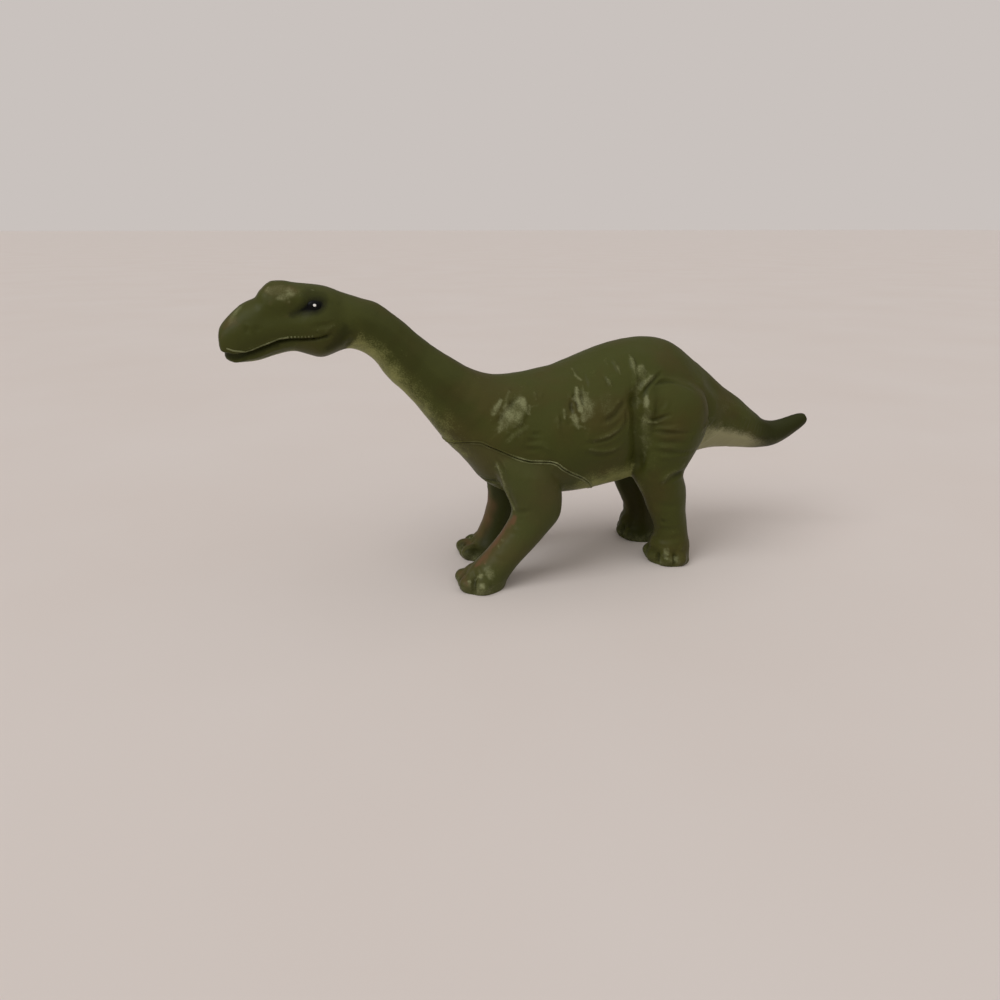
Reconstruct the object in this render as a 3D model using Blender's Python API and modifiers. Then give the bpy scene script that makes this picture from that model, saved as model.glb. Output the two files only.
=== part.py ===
"""Toy long-necked dinosaur figure, moulded in soft vinyl as two castings that are glued together.

The body casting holds the head, neck, trunk, tail and hind legs. The foreleg casting holds the lower chest
and both forelegs, and it is plugged into the body casting with two round pegs. Each eye is a cap of paint.

+X runs from the nose to the tail, +Z is up, and -Y is the figure's left side.
The origin is on the ground, under the middle of the figure.
Run it with: blender --background --python part.py
"""

import math
from collections import namedtuple

import bmesh
import bpy
import numpy as np
from mathutils import Matrix, Vector

MM = 0.001

# Head
HEAD_LENGTH = 29.0 * MM
HEAD_DEPTH = 17.0 * MM
HEAD_WIDTH = 15.0 * MM
MOUTH_GAP = 1.2 * MM
MOUTH_DEPTH = 1.1 * MM
EYE_DIAMETER = 2.6 * MM
EYE_BULGE = 0.55 * MM
EYE_STUB = 1.2 * MM
EYE_CLEARANCE = 0.3 * MM
EYE_HOLLOW_WIDTH = 4.6 * MM
EYE_HOLLOW_DEPTH = 0.8 * MM

# Neck
NECK_REACH = 32.1 * MM
NECK_RISE = 25.5 * MM
NECK_DEPTH = 13.6 * MM
NECK_WIDTH = 12.4 * MM

# Trunk
TRUNK_LENGTH = 63.3 * MM
TRUNK_DEPTH = 40.0 * MM
TRUNK_WIDTH = 33.0 * MM
HIP_HEIGHT = 44.0 * MM

# Tail
TAIL_LENGTH = 43.6 * MM
TAIL_DROP = 12.0 * MM
TAIL_DEPTH = 24.3 * MM
TAIL_WIDTH = 18.0 * MM
TAIL_SWAY = 1.6 * MM

# Hind legs
HIND_LEG_DEPTH = 21.6 * MM
HIND_LEG_WIDTH = 14.6 * MM
HIND_SPREAD = 10.2 * MM

# Folds carved in the hide
TROUGH_WIDTH = 4.4 * MM
TROUGH_DEPTH = 2.1 * MM
HIP_ARCH_WIDTH = 2.6 * MM
HIP_ARCH_DEPTH = 1.1 * MM
MUSCLE_WIDTH = 7.0 * MM
MUSCLE_HEIGHT = 1.1 * MM
FOLD_WIDTH = 2.4 * MM
FOLD_DEPTH = 0.8 * MM

# Forelegs
FORE_LEG_DEPTH = 16.4 * MM
FORE_LEG_WIDTH = 12.6 * MM
FORE_SPREAD = 11.2 * MM
LEFT_LEG_REACH = 14.9 * MM
RIGHT_LEG_REACH = 6.4 * MM
LEFT_FOOT_LEAD = 0.2 * MM
RIGHT_FOOT_LEAD = 3.1 * MM

# Feet
FOOT_LENGTH = 12.4 * MM
FOOT_WIDTH = 13.4 * MM
TOE_LENGTH = 5.6 * MM
TOE_WIDTH = 5.0 * MM
TOE_HEIGHT = 4.4 * MM
INSTEP_HEIGHT = 4.2 * MM

# Joint between the two castings
GLUE_GAP = 0.3 * MM
PEG_DIAMETER = 5.0 * MM
PEG_LENGTH = 6.0 * MM
PEG_CLEARANCE = 0.3 * MM
PEG_SPACING = 11.0 * MM

# Fineness of the moulded skin
SKIN_CELL = 0.8 * MM
WELD_DISTANCE = 0.01 * MM
SKIN_SMOOTHING_PASSES = 4
SKIN_TRIANGLES = 8400
SECTION_SIDES = 32
SECTION_STEPS = 4
ROUND_SIDES = 24
BALL_SIDES = 20
DOME_STEPS = 5
CREASE_DEG = 40.0

VINYL_COLOUR = (0.079, 0.105, 0.018, 1.0)
VINYL_ROUGHNESS = 0.42
EYE_COLOUR = (0.004, 0.004, 0.004, 1.0)
EYE_ROUGHNESS = 0.15

PIECES = "toy_dinosaur"
CUTTERS = "cutters"

# A section is an oval across the sagittal plane, or beside it at `side`. `tilt` turns its depth axis.
Section = namedtuple("Section", "x z side depth width tilt")

# Each table runs along its region. The columns are: place along, rise, tilt in degrees, depth, width.
HEAD_SHARES = (
    (0.00, 0.00, 8.0, 0.81, 0.92),
    (0.16, 0.01, 6.0, 0.99, 1.00),
    (0.28, 0.05, 6.0, 0.97, 0.98),
    (0.40, 0.09, 4.0, 0.93, 0.91),
    (0.53, 0.09, 6.0, 1.01, 0.83),
    (0.64, 0.03, 6.0, 0.99, 0.78),
    (0.72, -0.05, 9.0, 0.90, 0.75),
    (0.82, -0.10, 7.0, 0.76, 0.69),
    (0.90, -0.13, 3.0, 0.57, 0.58),
    (0.965, -0.15, -4.0, 0.36, 0.44),
    (0.995, -0.155, -6.0, 0.18, 0.24),
)
NECK_SHARES = (
    (0.165, 0.176, 21.0, 1.43, 1.53),
    (0.315, 0.37, 31.0, 1.15, 1.26),
    (0.44, 0.52, 35.0, 1.01, 1.08),
    (0.56, 0.66, 34.0, 0.98, 1.00),
    (0.67, 0.80, 30.0, 0.95, 0.98),
    (0.785, 0.92, 21.0, 0.94, 1.00),
    (0.90, 0.98, 15.0, 0.92, 1.03),
)
TRUNK_SHARES = (
    (0.00, 0.02, 11.0, 0.60, 0.71),
    (0.09, -0.075, 9.0, 0.73, 0.82),
    (0.21, -0.128, 5.0, 0.85, 0.91),
    (0.35, -0.117, 2.5, 0.885, 0.97),
    (0.49, -0.080, 0.0, 0.943, 1.00),
    (0.62, -0.032, -1.5, 0.986, 0.97),
    (0.757, 0.00, 0.0, 0.975, 0.91),
    (0.883, 0.012, 0.0, 0.90, 0.79),
    (1.00, -0.015, 1.0, 0.745, 0.65),
)
# The tail's columns are: place along, drop, tilt in degrees, depth, width, sway.
TAIL_SHARES = (
    (0.119, 0.133, 3.0, 1.00, 1.00, 0.00),
    (0.25, 0.317, 5.0, 0.767, 0.84, 0.00),
    (0.38, 0.483, 7.0, 0.634, 0.71, 0.02),
    (0.525, 0.73, 8.0, 0.468, 0.56, 0.06),
    (0.62, 0.85, 0.0, 0.37, 0.47, 0.13),
    (0.70, 0.89, -7.0, 0.323, 0.40, 0.24),
    (0.776, 0.83, -12.0, 0.286, 0.34, 0.40),
    (0.85, 0.72, -16.0, 0.261, 0.30, 0.60),
    (0.91, 0.61, -19.0, 0.224, 0.25, 0.80),
    (0.96, 0.52, -23.0, 0.155, 0.18, 1.00),
)
# The hind leg's columns are: height, as a share of the hip's, place along, as a share of the leg's depth,
# depth, place outwards, width.
HIND_LEG_SHARES = (
    (1.234, -0.127, 0.30, 0.88, 0.41),
    (1.17, -0.05, 0.70, 0.96, 0.75),
    (1.08, 0.016, 0.893, 1.03, 0.93),
    (0.96, 0.014, 0.947, 1.08, 1.00),
    (0.836, -0.027, 0.917, 1.08, 0.986),
    (0.714, -0.087, 0.777, 1.06, 0.90),
    (0.62, -0.121, 0.688, 1.04, 0.81),
    (0.53, -0.044, 0.644, 1.03, 0.74),
    (0.45, 0.016, 0.58, 1.02, 0.685),
    (0.364, 0.058, 0.514, 1.01, 0.66),
    (0.282, 0.116, 0.463, 1.00, 0.645),
    (0.20, 0.155, 0.44, 0.99, 0.67),
    (0.12, 0.15, 0.55, 0.97, 0.77),
    (0.05, 0.16, 0.55, 0.94, 0.82),
    (-0.03, 0.16, 0.55, 0.92, 0.83),
)
# The foreleg's columns are: height, as a share of the hip's, place along, tilt, depth, place outwards, width.
# Above the elbow the place along is a share of the leg's depth, and the tilt is in degrees.
UPPER_FORE_LEG_SHARES = (
    (0.83, -0.15, 0.0, 0.91, 0.80, 0.79),
    (0.727, -0.05, 2.0, 1.00, 0.89, 0.98),
    (0.625, 0.04, 4.0, 0.99, 0.96, 1.00),
    (0.532, 0.10, 6.0, 0.90, 1.00, 0.95),
)
# From the elbow down it is a share of how far that leg reaches forwards, and the tilt a share of its lean.
LOWER_FORE_LEG_SHARES = (
    (0.443, 0.00, 0.28, 0.81, 1.01, 0.89),
    (0.364, 0.15, 0.46, 0.72, 1.01, 0.83),
    (0.28, 0.355, 0.85, 0.65, 1.01, 0.79),
    (0.186, 0.60, 0.80, 0.63, 1.01, 0.79),
    (0.106, 0.81, 0.72, 0.68, 0.99, 0.87),
    (0.053, 0.935, 0.55, 0.72, 0.95, 0.93),
    (-0.006, 0.98, 0.38, 0.73, 0.93, 0.95),
    (-0.07, 1.00, 0.13, 0.70, 0.92, 0.92),
)
SHOULDER_PLACE_SHARE = 0.20
HIP_PLACE_SHARE = 0.843
ELBOW_PLACE_SHARE = 0.10

# The seam between the castings, seen from the side, from the front of the chest to below the belly. The
# columns are places along the trunk, as shares of its length, and heights, as shares of the hip's.
SEAM_SHARES = (
    (-0.16, 0.91),
    (-0.12, 0.89),
    (-0.063, 0.911),
    (-0.009, 0.918),
    (0.024, 0.895),
    (0.062, 0.872),
    (0.12, 0.833),
    (0.18, 0.803),
    (0.209, 0.80),
    (0.269, 0.789),
    (0.303, 0.771),
    (0.325, 0.742),
    (0.365, 0.705),
    (0.436, 0.647),
    (0.494, 0.573),
    (0.525, 0.50),
    (0.54, 0.42),
)
# The mouth, from its corner to the nose: places along the head, as shares of its length, and heights from the
# middle of its rear section, as shares of its depth.
MOUTH_SHARES = (
    (0.15, -0.14),
    (0.246, -0.17),
    (0.341, -0.185),
    (0.451, -0.19),
    (0.547, -0.22),
    (0.662, -0.295),
    (0.749, -0.34),
    (0.836, -0.36),
    (0.942, -0.315),
    (1.02, -0.29),
)
EYE_PLACE_SHARES = (0.23, 0.277)
EYE_HOLLOW_SHARES = ((0.56, 0.15), (0.46, 0.155), (0.36, 0.19), (0.28, 0.25), (0.20, 0.27))
# The main folds of the hide, on both sides. Like the seam, they are places along the trunk and heights.
TROUGH_SHARES = ((0.645, 1.20), (0.648, 1.10), (0.652, 0.99), (0.655, 0.88), (0.664, 0.78), (0.682, 0.68))
HIP_ARCH_SHARES = ((0.775, 1.262), (0.735, 1.235), (0.702, 1.195), (0.678, 1.14), (0.668, 1.08))
MUSCLE_SHARES = ((0.712, 1.12), (0.716, 1.06))
FOLD_SHARES = (
    ((0.73, 1.213), (0.77, 1.22), (0.835, 1.212), (0.88, 1.19)),
    ((0.664, 1.03), (0.70, 1.015), (0.745, 1.01), (0.78, 1.025)),
    ((0.70, 0.945), (0.756, 0.931), (0.815, 0.924), (0.87, 0.925)),
    ((0.71, 0.835), (0.77, 0.82), (0.84, 0.82)),
    ((0.155, 1.185), (0.113, 1.123), (0.085, 1.083), (0.044, 1.042)),
    ((0.192, 1.16), (0.185, 1.09), (0.155, 1.03), (0.11, 0.99)),
    ((0.372, 1.17), (0.375, 1.11), (0.392, 1.04)),
    ((0.59, 1.12), (0.585, 1.06), (0.55, 1.01), (0.485, 0.965), (0.42, 0.96)),
    ((0.57, 0.90), (0.52, 0.855), (0.45, 0.84), (0.40, 0.85)),
)
TOE_PLACE_SHARE = 0.38
TOE_RISE_SHARE = 0.44
HIND_TOE_ANGLES_DEG = (-33.0, 8.0, 56.0, 96.0)
FORE_TOE_ANGLES_DEG = (-34.0, 28.0, 80.0)


def spline(points, steps):
    """Rows of a smooth curve through rows of numbers, by Catmull and Rom's formula."""
    rows = np.asarray(points, float)
    ends = np.vstack([2 * rows[0] - rows[1], rows, 2 * rows[-1] - rows[-2]])
    made = []
    for i in range(1, len(rows)):
        before, here, after, beyond = ends[i - 1], ends[i], ends[i + 1], ends[i + 2]
        for t in np.arange(steps) / steps:
            made.append(
                0.5
                * (
                    2 * here
                    + (after - before) * t
                    + (2 * before - 5 * here + 4 * after - beyond) * t**2
                    + (3 * here - before - 3 * after + beyond) * t**3
                )
            )
    made.append(rows[-1])
    return np.array(made)


def trunk_front():
    """The centre of the trunk's front section. The figure's middle is at x = 0."""
    nose = -NECK_REACH - HEAD_LENGTH
    tail_tip = TRUNK_LENGTH + TAIL_LENGTH
    return -(nose + tail_tip) / 2, HIP_HEIGHT + TRUNK_SHARES[0][1] * TRUNK_DEPTH


def head_place():
    """The centre of the head's rear section, where the neck ends."""
    x, z = trunk_front()
    return x - NECK_REACH, z + NECK_RISE


def along_trunk(share):
    """The x of a place along the trunk."""
    return trunk_front()[0] + share * TRUNK_LENGTH


def past_the_sides():
    """A distance sideways that nothing on the figure reaches."""
    return TRUNK_WIDTH / 2 + FORE_SPREAD + HIND_SPREAD + FOOT_WIDTH


def head_sections():
    """The sections of the head, from the nose to its rear."""
    head_x, head_z = head_place()
    return [
        Section(head_x - a * HEAD_LENGTH, head_z + r * HEAD_DEPTH, 0.0, d * HEAD_DEPTH, w * HEAD_WIDTH, t)
        for a, r, t, d, w in reversed(HEAD_SHARES)
    ]


def neck_sections():
    """The sections of the neck, from the head to the trunk."""
    front_x, front_z = trunk_front()
    return [
        Section(front_x - a * NECK_REACH, front_z + r * NECK_RISE, 0.0, d * NECK_DEPTH, w * NECK_WIDTH, t)
        for a, r, t, d, w in reversed(NECK_SHARES)
    ]


def trunk_sections():
    """The sections of the trunk, from the chest to the tail."""
    return [
        Section(along_trunk(a), HIP_HEIGHT + r * TRUNK_DEPTH, 0.0, d * TRUNK_DEPTH, w * TRUNK_WIDTH, t)
        for a, r, t, d, w in TRUNK_SHARES
    ]


def tail_sections():
    """The sections of the tail, from the trunk to the tip."""
    root = trunk_sections()[-1]
    return [
        Section(
            x=root.x + a * TAIL_LENGTH,
            z=root.z - r * TAIL_DROP,
            side=-s * TAIL_SWAY,
            depth=d * TAIL_DEPTH,
            width=w * TAIL_WIDTH,
            tilt=t,
        )
        for a, r, t, d, w, s in TAIL_SHARES
    ]


def hind_leg_sections(outwards):
    """The sections of one hind leg, from the top of the thigh to below the ground."""
    hip_x = along_trunk(HIP_PLACE_SHARE)
    return [
        Section(
            x=hip_x + a * HIND_LEG_DEPTH,
            z=h * HIP_HEIGHT,
            side=outwards * s * HIND_SPREAD,
            depth=d * HIND_LEG_DEPTH,
            width=w * HIND_LEG_WIDTH,
            tilt=90.0,
        )
        for h, a, d, s, w in HIND_LEG_SHARES
    ]


def elbow_place():
    """The x of both elbows."""
    return along_trunk(SHOULDER_PLACE_SHARE) + ELBOW_PLACE_SHARE * FORE_LEG_DEPTH


def fore_leg_sections(outwards, reach):
    """The sections of one foreleg, from inside the shoulder to below the ground."""
    shoulder_x = along_trunk(SHOULDER_PLACE_SHARE)
    elbow_height = LOWER_FORE_LEG_SHARES[0][0] * HIP_HEIGHT
    lean = math.degrees(math.atan2(reach, elbow_height))
    upper = [(h, shoulder_x + a * FORE_LEG_DEPTH, t, d, s, w) for h, a, t, d, s, w in UPPER_FORE_LEG_SHARES]
    lower = [(h, elbow_place() - a * reach, t * lean, d, s, w) for h, a, t, d, s, w in LOWER_FORE_LEG_SHARES]
    return [
        Section(
            x=x,
            z=h * HIP_HEIGHT,
            side=outwards * s * FORE_SPREAD,
            depth=d * FORE_LEG_DEPTH,
            width=w * FORE_LEG_WIDTH,
            tilt=90.0 + t,
        )
        for h, x, t, d, s, w in upper + lower
    ]


def add_loft(shells, sections):
    """Adds a closed skin through the sections to the bmesh."""
    rows = spline(sections, SECTION_STEPS)
    rings = []
    for x, z, side, depth, width, tilt in rows:
        up = Vector((math.sin(math.radians(tilt)), 0.0, math.cos(math.radians(tilt))))
        ring = []
        for i in range(SECTION_SIDES):
            angle = 2 * math.pi * i / SECTION_SIDES
            across = Vector((0.0, math.sin(angle) * width / 2, 0.0))
            place = Vector((x, side, z)) + up * (math.cos(angle) * depth / 2) + across
            ring.append(shells.verts.new(place))
        rings.append(ring)
    for near, far in zip(rings, rings[1:]):
        for i in range(SECTION_SIDES):
            j = (i + 1) % SECTION_SIDES
            shells.faces.new((near[i], near[j], far[j], far[i]))
    for ring in (rings[0], rings[-1]):
        middle = sum((v.co for v in ring), Vector()) / SECTION_SIDES
        tip = shells.verts.new(middle)
        for i in range(SECTION_SIDES):
            shells.faces.new((ring[i], ring[(i + 1) % SECTION_SIDES], tip))


def add_ball(shells, place, size, heading=0.0):
    """Adds an ellipsoid whose length points along `heading`, an angle about Z."""
    shape = Matrix.Translation(place) @ Matrix.Rotation(heading, 4, "Z") @ Matrix.Diagonal((*size, 1.0))
    rings = BALL_SIDES // 2
    bmesh.ops.create_uvsphere(shells, u_segments=BALL_SIDES, v_segments=rings, radius=0.5, matrix=shape)


def add_foot(shells, x, outwards, side, toe_angles):
    """Adds a foot's pad and its toes, which spread from the inner front to the outer side."""
    add_ball(shells, (x, outwards * side, 0.0), (FOOT_LENGTH, FOOT_WIDTH, 2 * INSTEP_HEIGHT))
    for angle in np.radians(toe_angles):
        ahead, aside = -math.cos(angle), outwards * math.sin(angle)
        place = (
            x + ahead * TOE_PLACE_SHARE * FOOT_LENGTH,
            outwards * side + aside * TOE_PLACE_SHARE * FOOT_WIDTH,
            TOE_HEIGHT * TOE_RISE_SHARE,
        )
        add_ball(shells, place, (TOE_LENGTH, TOE_WIDTH, TOE_HEIGHT), math.atan2(aside, ahead))


def mesh_from(shells, name):
    """A mesh with the bmesh's faces, all facing outwards."""
    bmesh.ops.recalc_face_normals(shells, faces=shells.faces[:])
    mesh = bpy.data.meshes.new(name)
    shells.to_mesh(mesh)
    shells.free()
    return mesh


def modified_mesh(obj):
    """A plain mesh of the object with its modifiers applied, in place of the object."""
    graph = bpy.context.evaluated_depsgraph_get()
    mesh = bpy.data.meshes.new_from_object(obj.evaluated_get(graph))
    bpy.data.objects.remove(obj)
    return mesh


def helper(name, mesh):
    """An object that shapes the pieces, such as a cutter, and isn't one itself."""
    obj = bpy.data.objects.new(name, mesh)
    bpy.data.collections[CUTTERS].objects.link(obj)
    obj.hide_render = True
    obj.display_type = "WIRE"
    return obj


def on_head(shares):
    """A line on the head, seen from the side."""
    head_x, head_z = head_place()
    return spline([(head_x - a * HEAD_LENGTH, head_z + r * HEAD_DEPTH) for a, r in shares], SECTION_STEPS)


def on_trunk(shares):
    """A line on the trunk or the thigh, seen from the side."""
    return spline([(along_trunk(a), h * HIP_HEIGHT) for a, h in shares], SECTION_STEPS)


def carvings():
    """The lines that are pressed into the skin on both sides, with their widths and depths."""
    made = [
        (on_head(MOUTH_SHARES), MOUTH_GAP, MOUTH_DEPTH),
        (on_head(EYE_HOLLOW_SHARES), EYE_HOLLOW_WIDTH, EYE_HOLLOW_DEPTH),
        (on_trunk(TROUGH_SHARES), TROUGH_WIDTH, TROUGH_DEPTH),
        (on_trunk(HIP_ARCH_SHARES), HIP_ARCH_WIDTH, HIP_ARCH_DEPTH),
        (on_trunk(MUSCLE_SHARES), MUSCLE_WIDTH, -MUSCLE_HEIGHT),
    ]
    return made + [(on_trunk(shares), FOLD_WIDTH, FOLD_DEPTH) for shares in FOLD_SHARES]


def carve(mesh):
    """Presses the mouth and the main folds into the skin, where it faces outwards."""
    places = np.empty(len(mesh.vertices) * 3)
    normals = np.empty(len(mesh.vertices) * 3)
    mesh.vertices.foreach_get("co", places)
    mesh.vertices.foreach_get("normal", normals)
    places, normals = places.reshape(-1, 3), normals.reshape(-1, 3)
    outwards = np.sign(places[:, 1]) * normals[:, 1] > -0.1
    push = np.zeros(len(places))
    for line, width, depth in carvings():
        low, high = line.min(axis=0) - width, line.max(axis=0) + width
        flat = places[:, [0, 2]]
        near = np.flatnonzero(outwards & np.all((flat > low) & (flat < high), axis=1))
        away = np.linalg.norm(flat[near][:, None, :] - line[None, :, :], axis=2).min(axis=1)
        push[near] += depth * np.exp(-((away / (width / 2)) ** 2))
    places -= normals * push[:, None]
    mesh.vertices.foreach_set("co", places.ravel())
    mesh.update()


def overlapping_shells():
    """The figure's regions as closed shells that run into each other."""
    shells = bmesh.new()
    add_loft(shells, head_sections() + neck_sections() + trunk_sections() + tail_sections())
    hind_foot_x = along_trunk(HIP_PLACE_SHARE) + HIND_LEG_SHARES[-1][1] * HIND_LEG_DEPTH
    hind_foot_side = HIND_LEG_SHARES[-1][3] * HIND_SPREAD
    fore_foot_side = LOWER_FORE_LEG_SHARES[-1][4] * FORE_SPREAD
    sides = ((-1, LEFT_LEG_REACH, LEFT_FOOT_LEAD), (1, RIGHT_LEG_REACH, RIGHT_FOOT_LEAD))
    for outwards, reach, lead in sides:
        add_loft(shells, hind_leg_sections(outwards))
        add_foot(shells, hind_foot_x, outwards, hind_foot_side, HIND_TOE_ANGLES_DEG)
        add_loft(shells, fore_leg_sections(outwards, reach))
        add_foot(shells, elbow_place() - reach - lead, outwards, fore_foot_side, FORE_TOE_ANGLES_DEG)
    return mesh_from(shells, "overlapping_shells")


def figure_mesh():
    """The whole figure as one skin, before it is split into its two castings."""
    blank = helper("figure_blank", overlapping_shells())
    remesh = blank.modifiers.new("one_skin", "REMESH")
    remesh.mode = "VOXEL"
    remesh.voxel_size = SKIN_CELL
    smooth = blank.modifiers.new("soft_creases", "SMOOTH")
    smooth.iterations = SKIN_SMOOTHING_PASSES
    skin = modified_mesh(blank)
    carve(skin)
    fine = helper("fine_skin", skin)
    decimate = fine.modifiers.new("fewer_faces", "DECIMATE")
    decimate.ratio = min(1.0, SKIN_TRIANGLES / (2 * len(skin.polygons)))
    return modified_mesh(fine)


def seam_points(drop):
    """The seam's curve in the sagittal plane, moved down across its own direction by `drop`."""
    curve = spline([(along_trunk(a), h * HIP_HEIGHT) for a, h in SEAM_SHARES], SECTION_STEPS)
    ahead = np.gradient(curve, axis=0)
    ahead /= np.linalg.norm(ahead, axis=1)[:, None]
    return curve + drop * np.column_stack([ahead[:, 1], -ahead[:, 0]])


def below_seam_cutter(name, drop):
    """A block that holds all of the figure below the seam, lowered by `drop`."""
    seam = seam_points(drop)
    front, rear, floor = head_place()[0], seam[-1][0], -HIP_HEIGHT
    outline = [(front, seam[0][1])] + [tuple(point) for point in seam] + [(rear, floor), (front, floor)]
    half_width = past_the_sides()
    block = bmesh.new()
    side = block.faces.new([block.verts.new((x, -half_width, z)) for x, z in outline])
    pulled = bmesh.ops.extrude_face_region(block, geom=[side])["geom"]
    far_side = [part for part in pulled if isinstance(part, bmesh.types.BMVert)]
    bmesh.ops.translate(block, verts=far_side, vec=(0.0, 2 * half_width, 0.0))
    return helper(name, mesh_from(block, name))


def cylinder_mesh(name, diameter, length):
    """An upright cylinder that stands on its own origin."""
    shape = bmesh.new()
    bmesh.ops.create_cone(
        shape,
        cap_ends=True,
        segments=ROUND_SIDES,
        radius1=diameter / 2,
        radius2=diameter / 2,
        depth=length,
        matrix=Matrix.Translation((0.0, 0.0, length / 2)),
    )
    return mesh_from(shape, name)


def combine(target, tool, operation):
    """Adds a Boolean modifier to the target."""
    boolean = target.modifiers.new(f"{operation.lower()}_{tool.name}", "BOOLEAN")
    boolean.operation = operation
    boolean.object = tool
    boolean.solver = "EXACT"


def ground_cutter():
    """A block under the ground, which leaves the soles flat."""
    length = HEAD_LENGTH + NECK_REACH + TRUNK_LENGTH + TAIL_LENGTH
    size = Matrix.Diagonal((length, 2 * past_the_sides(), HIP_HEIGHT, 1.0))
    block = bmesh.new()
    bmesh.ops.create_cube(block, size=1.0, matrix=Matrix.Translation((0.0, 0.0, -HIP_HEIGHT / 2)) @ size)
    return helper("below_ground", mesh_from(block, "below_ground"))


def peg_places():
    """Where each peg crosses the seam, in the sagittal plane."""
    seam = seam_points(0.0)
    middle = along_trunk(SHOULDER_PLACE_SHARE)
    return [(x, float(np.interp(x, *seam.T))) for x in (middle - PEG_SPACING / 2, middle + PEG_SPACING / 2)]


def add_pegs(body, forelegs):
    """Plugs the forelegs into the body with pegs in blind holes."""
    root = PEG_LENGTH / 2
    for number, (x, z) in enumerate(peg_places(), start=1):
        hole_size = (PEG_DIAMETER + 2 * PEG_CLEARANCE, root + PEG_LENGTH + PEG_CLEARANCE)
        hole = helper(f"peg_hole_{number}", cylinder_mesh("peg_hole", *hole_size))
        peg = helper(f"peg_{number}", cylinder_mesh("peg", PEG_DIAMETER, root + PEG_LENGTH))
        hole.location = peg.location = (x, 0.0, z - root)
        combine(body, hole, "DIFFERENCE")
        combine(forelegs, peg, "UNION")


def eye_seat(figure, outwards):
    """The middle of one eye on the skin of the head, and the way that the skin faces there."""
    head_x, head_z = head_place()
    x = head_x - EYE_PLACE_SHARES[0] * HEAD_LENGTH
    z = head_z + EYE_PLACE_SHARES[1] * HEAD_DEPTH
    _, place, normal, _ = figure.ray_cast((x, outwards * HEAD_WIDTH, z), (0.0, -outwards, 0.0))
    return place, normal


def eye_mesh(name):
    """The half outline of an eye: a low dome on a short round stub."""
    radius = EYE_DIAMETER / 2
    dome_radius = (radius**2 + EYE_BULGE**2) / (2 * EYE_BULGE)
    rim_angle = math.asin(radius / dome_radius)
    angles = [rim_angle * step / DOME_STEPS for step in range(DOME_STEPS + 1)]
    dome = [(dome_radius * math.sin(a), EYE_BULGE - dome_radius * (1 - math.cos(a))) for a in angles]
    outline = bmesh.new()
    points = [outline.verts.new((r, 0.0, z)) for r, z in dome + [(radius, -EYE_STUB), (0.0, -EYE_STUB)]]
    for pair in zip(points, points[1:]):
        outline.edges.new(pair)
    mesh = bpy.data.meshes.new(name)
    outline.to_mesh(mesh)
    outline.free()
    return mesh


def turn(obj):
    """Turns the object's half outline about its own Z axis."""
    screw = obj.modifiers.new("turned", "SCREW")
    screw.steps = screw.render_steps = ROUND_SIDES
    screw.use_merge_vertices = True
    screw.merge_threshold = WELD_DISTANCE


def add_eye(side, outwards, figure, body, finish):
    """Makes one eye and sinks its socket into the body."""
    place, normal = eye_seat(figure, outwards)
    eye = piece(f"{side}_eye", eye_mesh(f"{side}_eye"), finish)
    turn(eye)
    depth = EYE_STUB + EYE_CLEARANCE
    socket_shape = cylinder_mesh("eye_socket", EYE_DIAMETER + 2 * EYE_CLEARANCE, 2 * depth)
    socket = helper(f"{side}_eye_socket", socket_shape)
    eye.location = place
    socket.location = place - normal * depth
    for obj in (eye, socket):
        obj.rotation_mode = "QUATERNION"
        obj.rotation_quaternion = normal.to_track_quat("Z", "Y")
    combine(body, socket, "DIFFERENCE")


def paint(name, colour, roughness):
    """A plain material in a piece's colour."""
    made = bpy.data.materials.new(name)
    made.use_nodes = True
    shader = made.node_tree.nodes["Principled BSDF"]
    shader.inputs["Base Color"].default_value = colour
    shader.inputs["Roughness"].default_value = roughness
    shader.inputs["Metallic"].default_value = 0.0
    made.diffuse_color = colour
    return made


def piece(name, mesh, finish):
    """A visible piece of the figure."""
    obj = bpy.data.objects.new(name, mesh)
    mesh.materials.clear()
    mesh.materials.append(finish)
    bpy.data.collections[PIECES].objects.link(obj)
    return obj


def body_casting(skin, ground):
    """The head, neck, trunk, tail and hind legs, cut away at the seam."""
    body = piece("body_casting", skin.copy(), paint("body_vinyl", VINYL_COLOUR, VINYL_ROUGHNESS))
    combine(body, ground, "DIFFERENCE")
    combine(body, below_seam_cutter("room_for_forelegs", 0.0), "DIFFERENCE")
    return body


def foreleg_casting(skin, ground):
    """The lower chest and the forelegs, set back from the seam by the glue."""
    forelegs = piece("foreleg_casting", skin.copy(), paint("foreleg_vinyl", VINYL_COLOUR, VINYL_ROUGHNESS))
    combine(forelegs, ground, "DIFFERENCE")
    combine(forelegs, below_seam_cutter("foreleg_blank", GLUE_GAP), "INTERSECT")
    return forelegs


def build():
    """Makes both castings and both eyes."""
    figure = helper("figure", figure_mesh())
    ground = ground_cutter()
    bpy.context.view_layer.update()
    body = body_casting(figure.data, ground)
    forelegs = foreleg_casting(figure.data, ground)
    add_pegs(body, forelegs)
    for side, outwards in (("left", -1), ("right", 1)):
        add_eye(side, outwards, figure, body, paint(f"{side}_eye_paint", EYE_COLOUR, EYE_ROUGHNESS))
    for obj in bpy.data.collections[PIECES].objects:
        obj.data.shade_smooth()
        obj.data.set_sharp_from_angle(angle=math.radians(CREASE_DEG))


for old in list(bpy.data.objects):
    bpy.data.objects.remove(old)
for group in (PIECES, CUTTERS):
    bpy.context.scene.collection.children.link(bpy.data.collections.new(group))
build()
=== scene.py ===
"""Looks of a toy long-necked dinosaur, moulded in soft vinyl as two castings and sprayed a paler green below.

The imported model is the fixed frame. Its two castings and its eyes are replaced by finer ones of the same
sizes, with the folds that a modeller drew in the skin, the flash along the glued seam and the paint.

+X runs from the nose to the tail, +Z is up, and -Y is the figure's left side, which the camera sees.
"""

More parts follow.
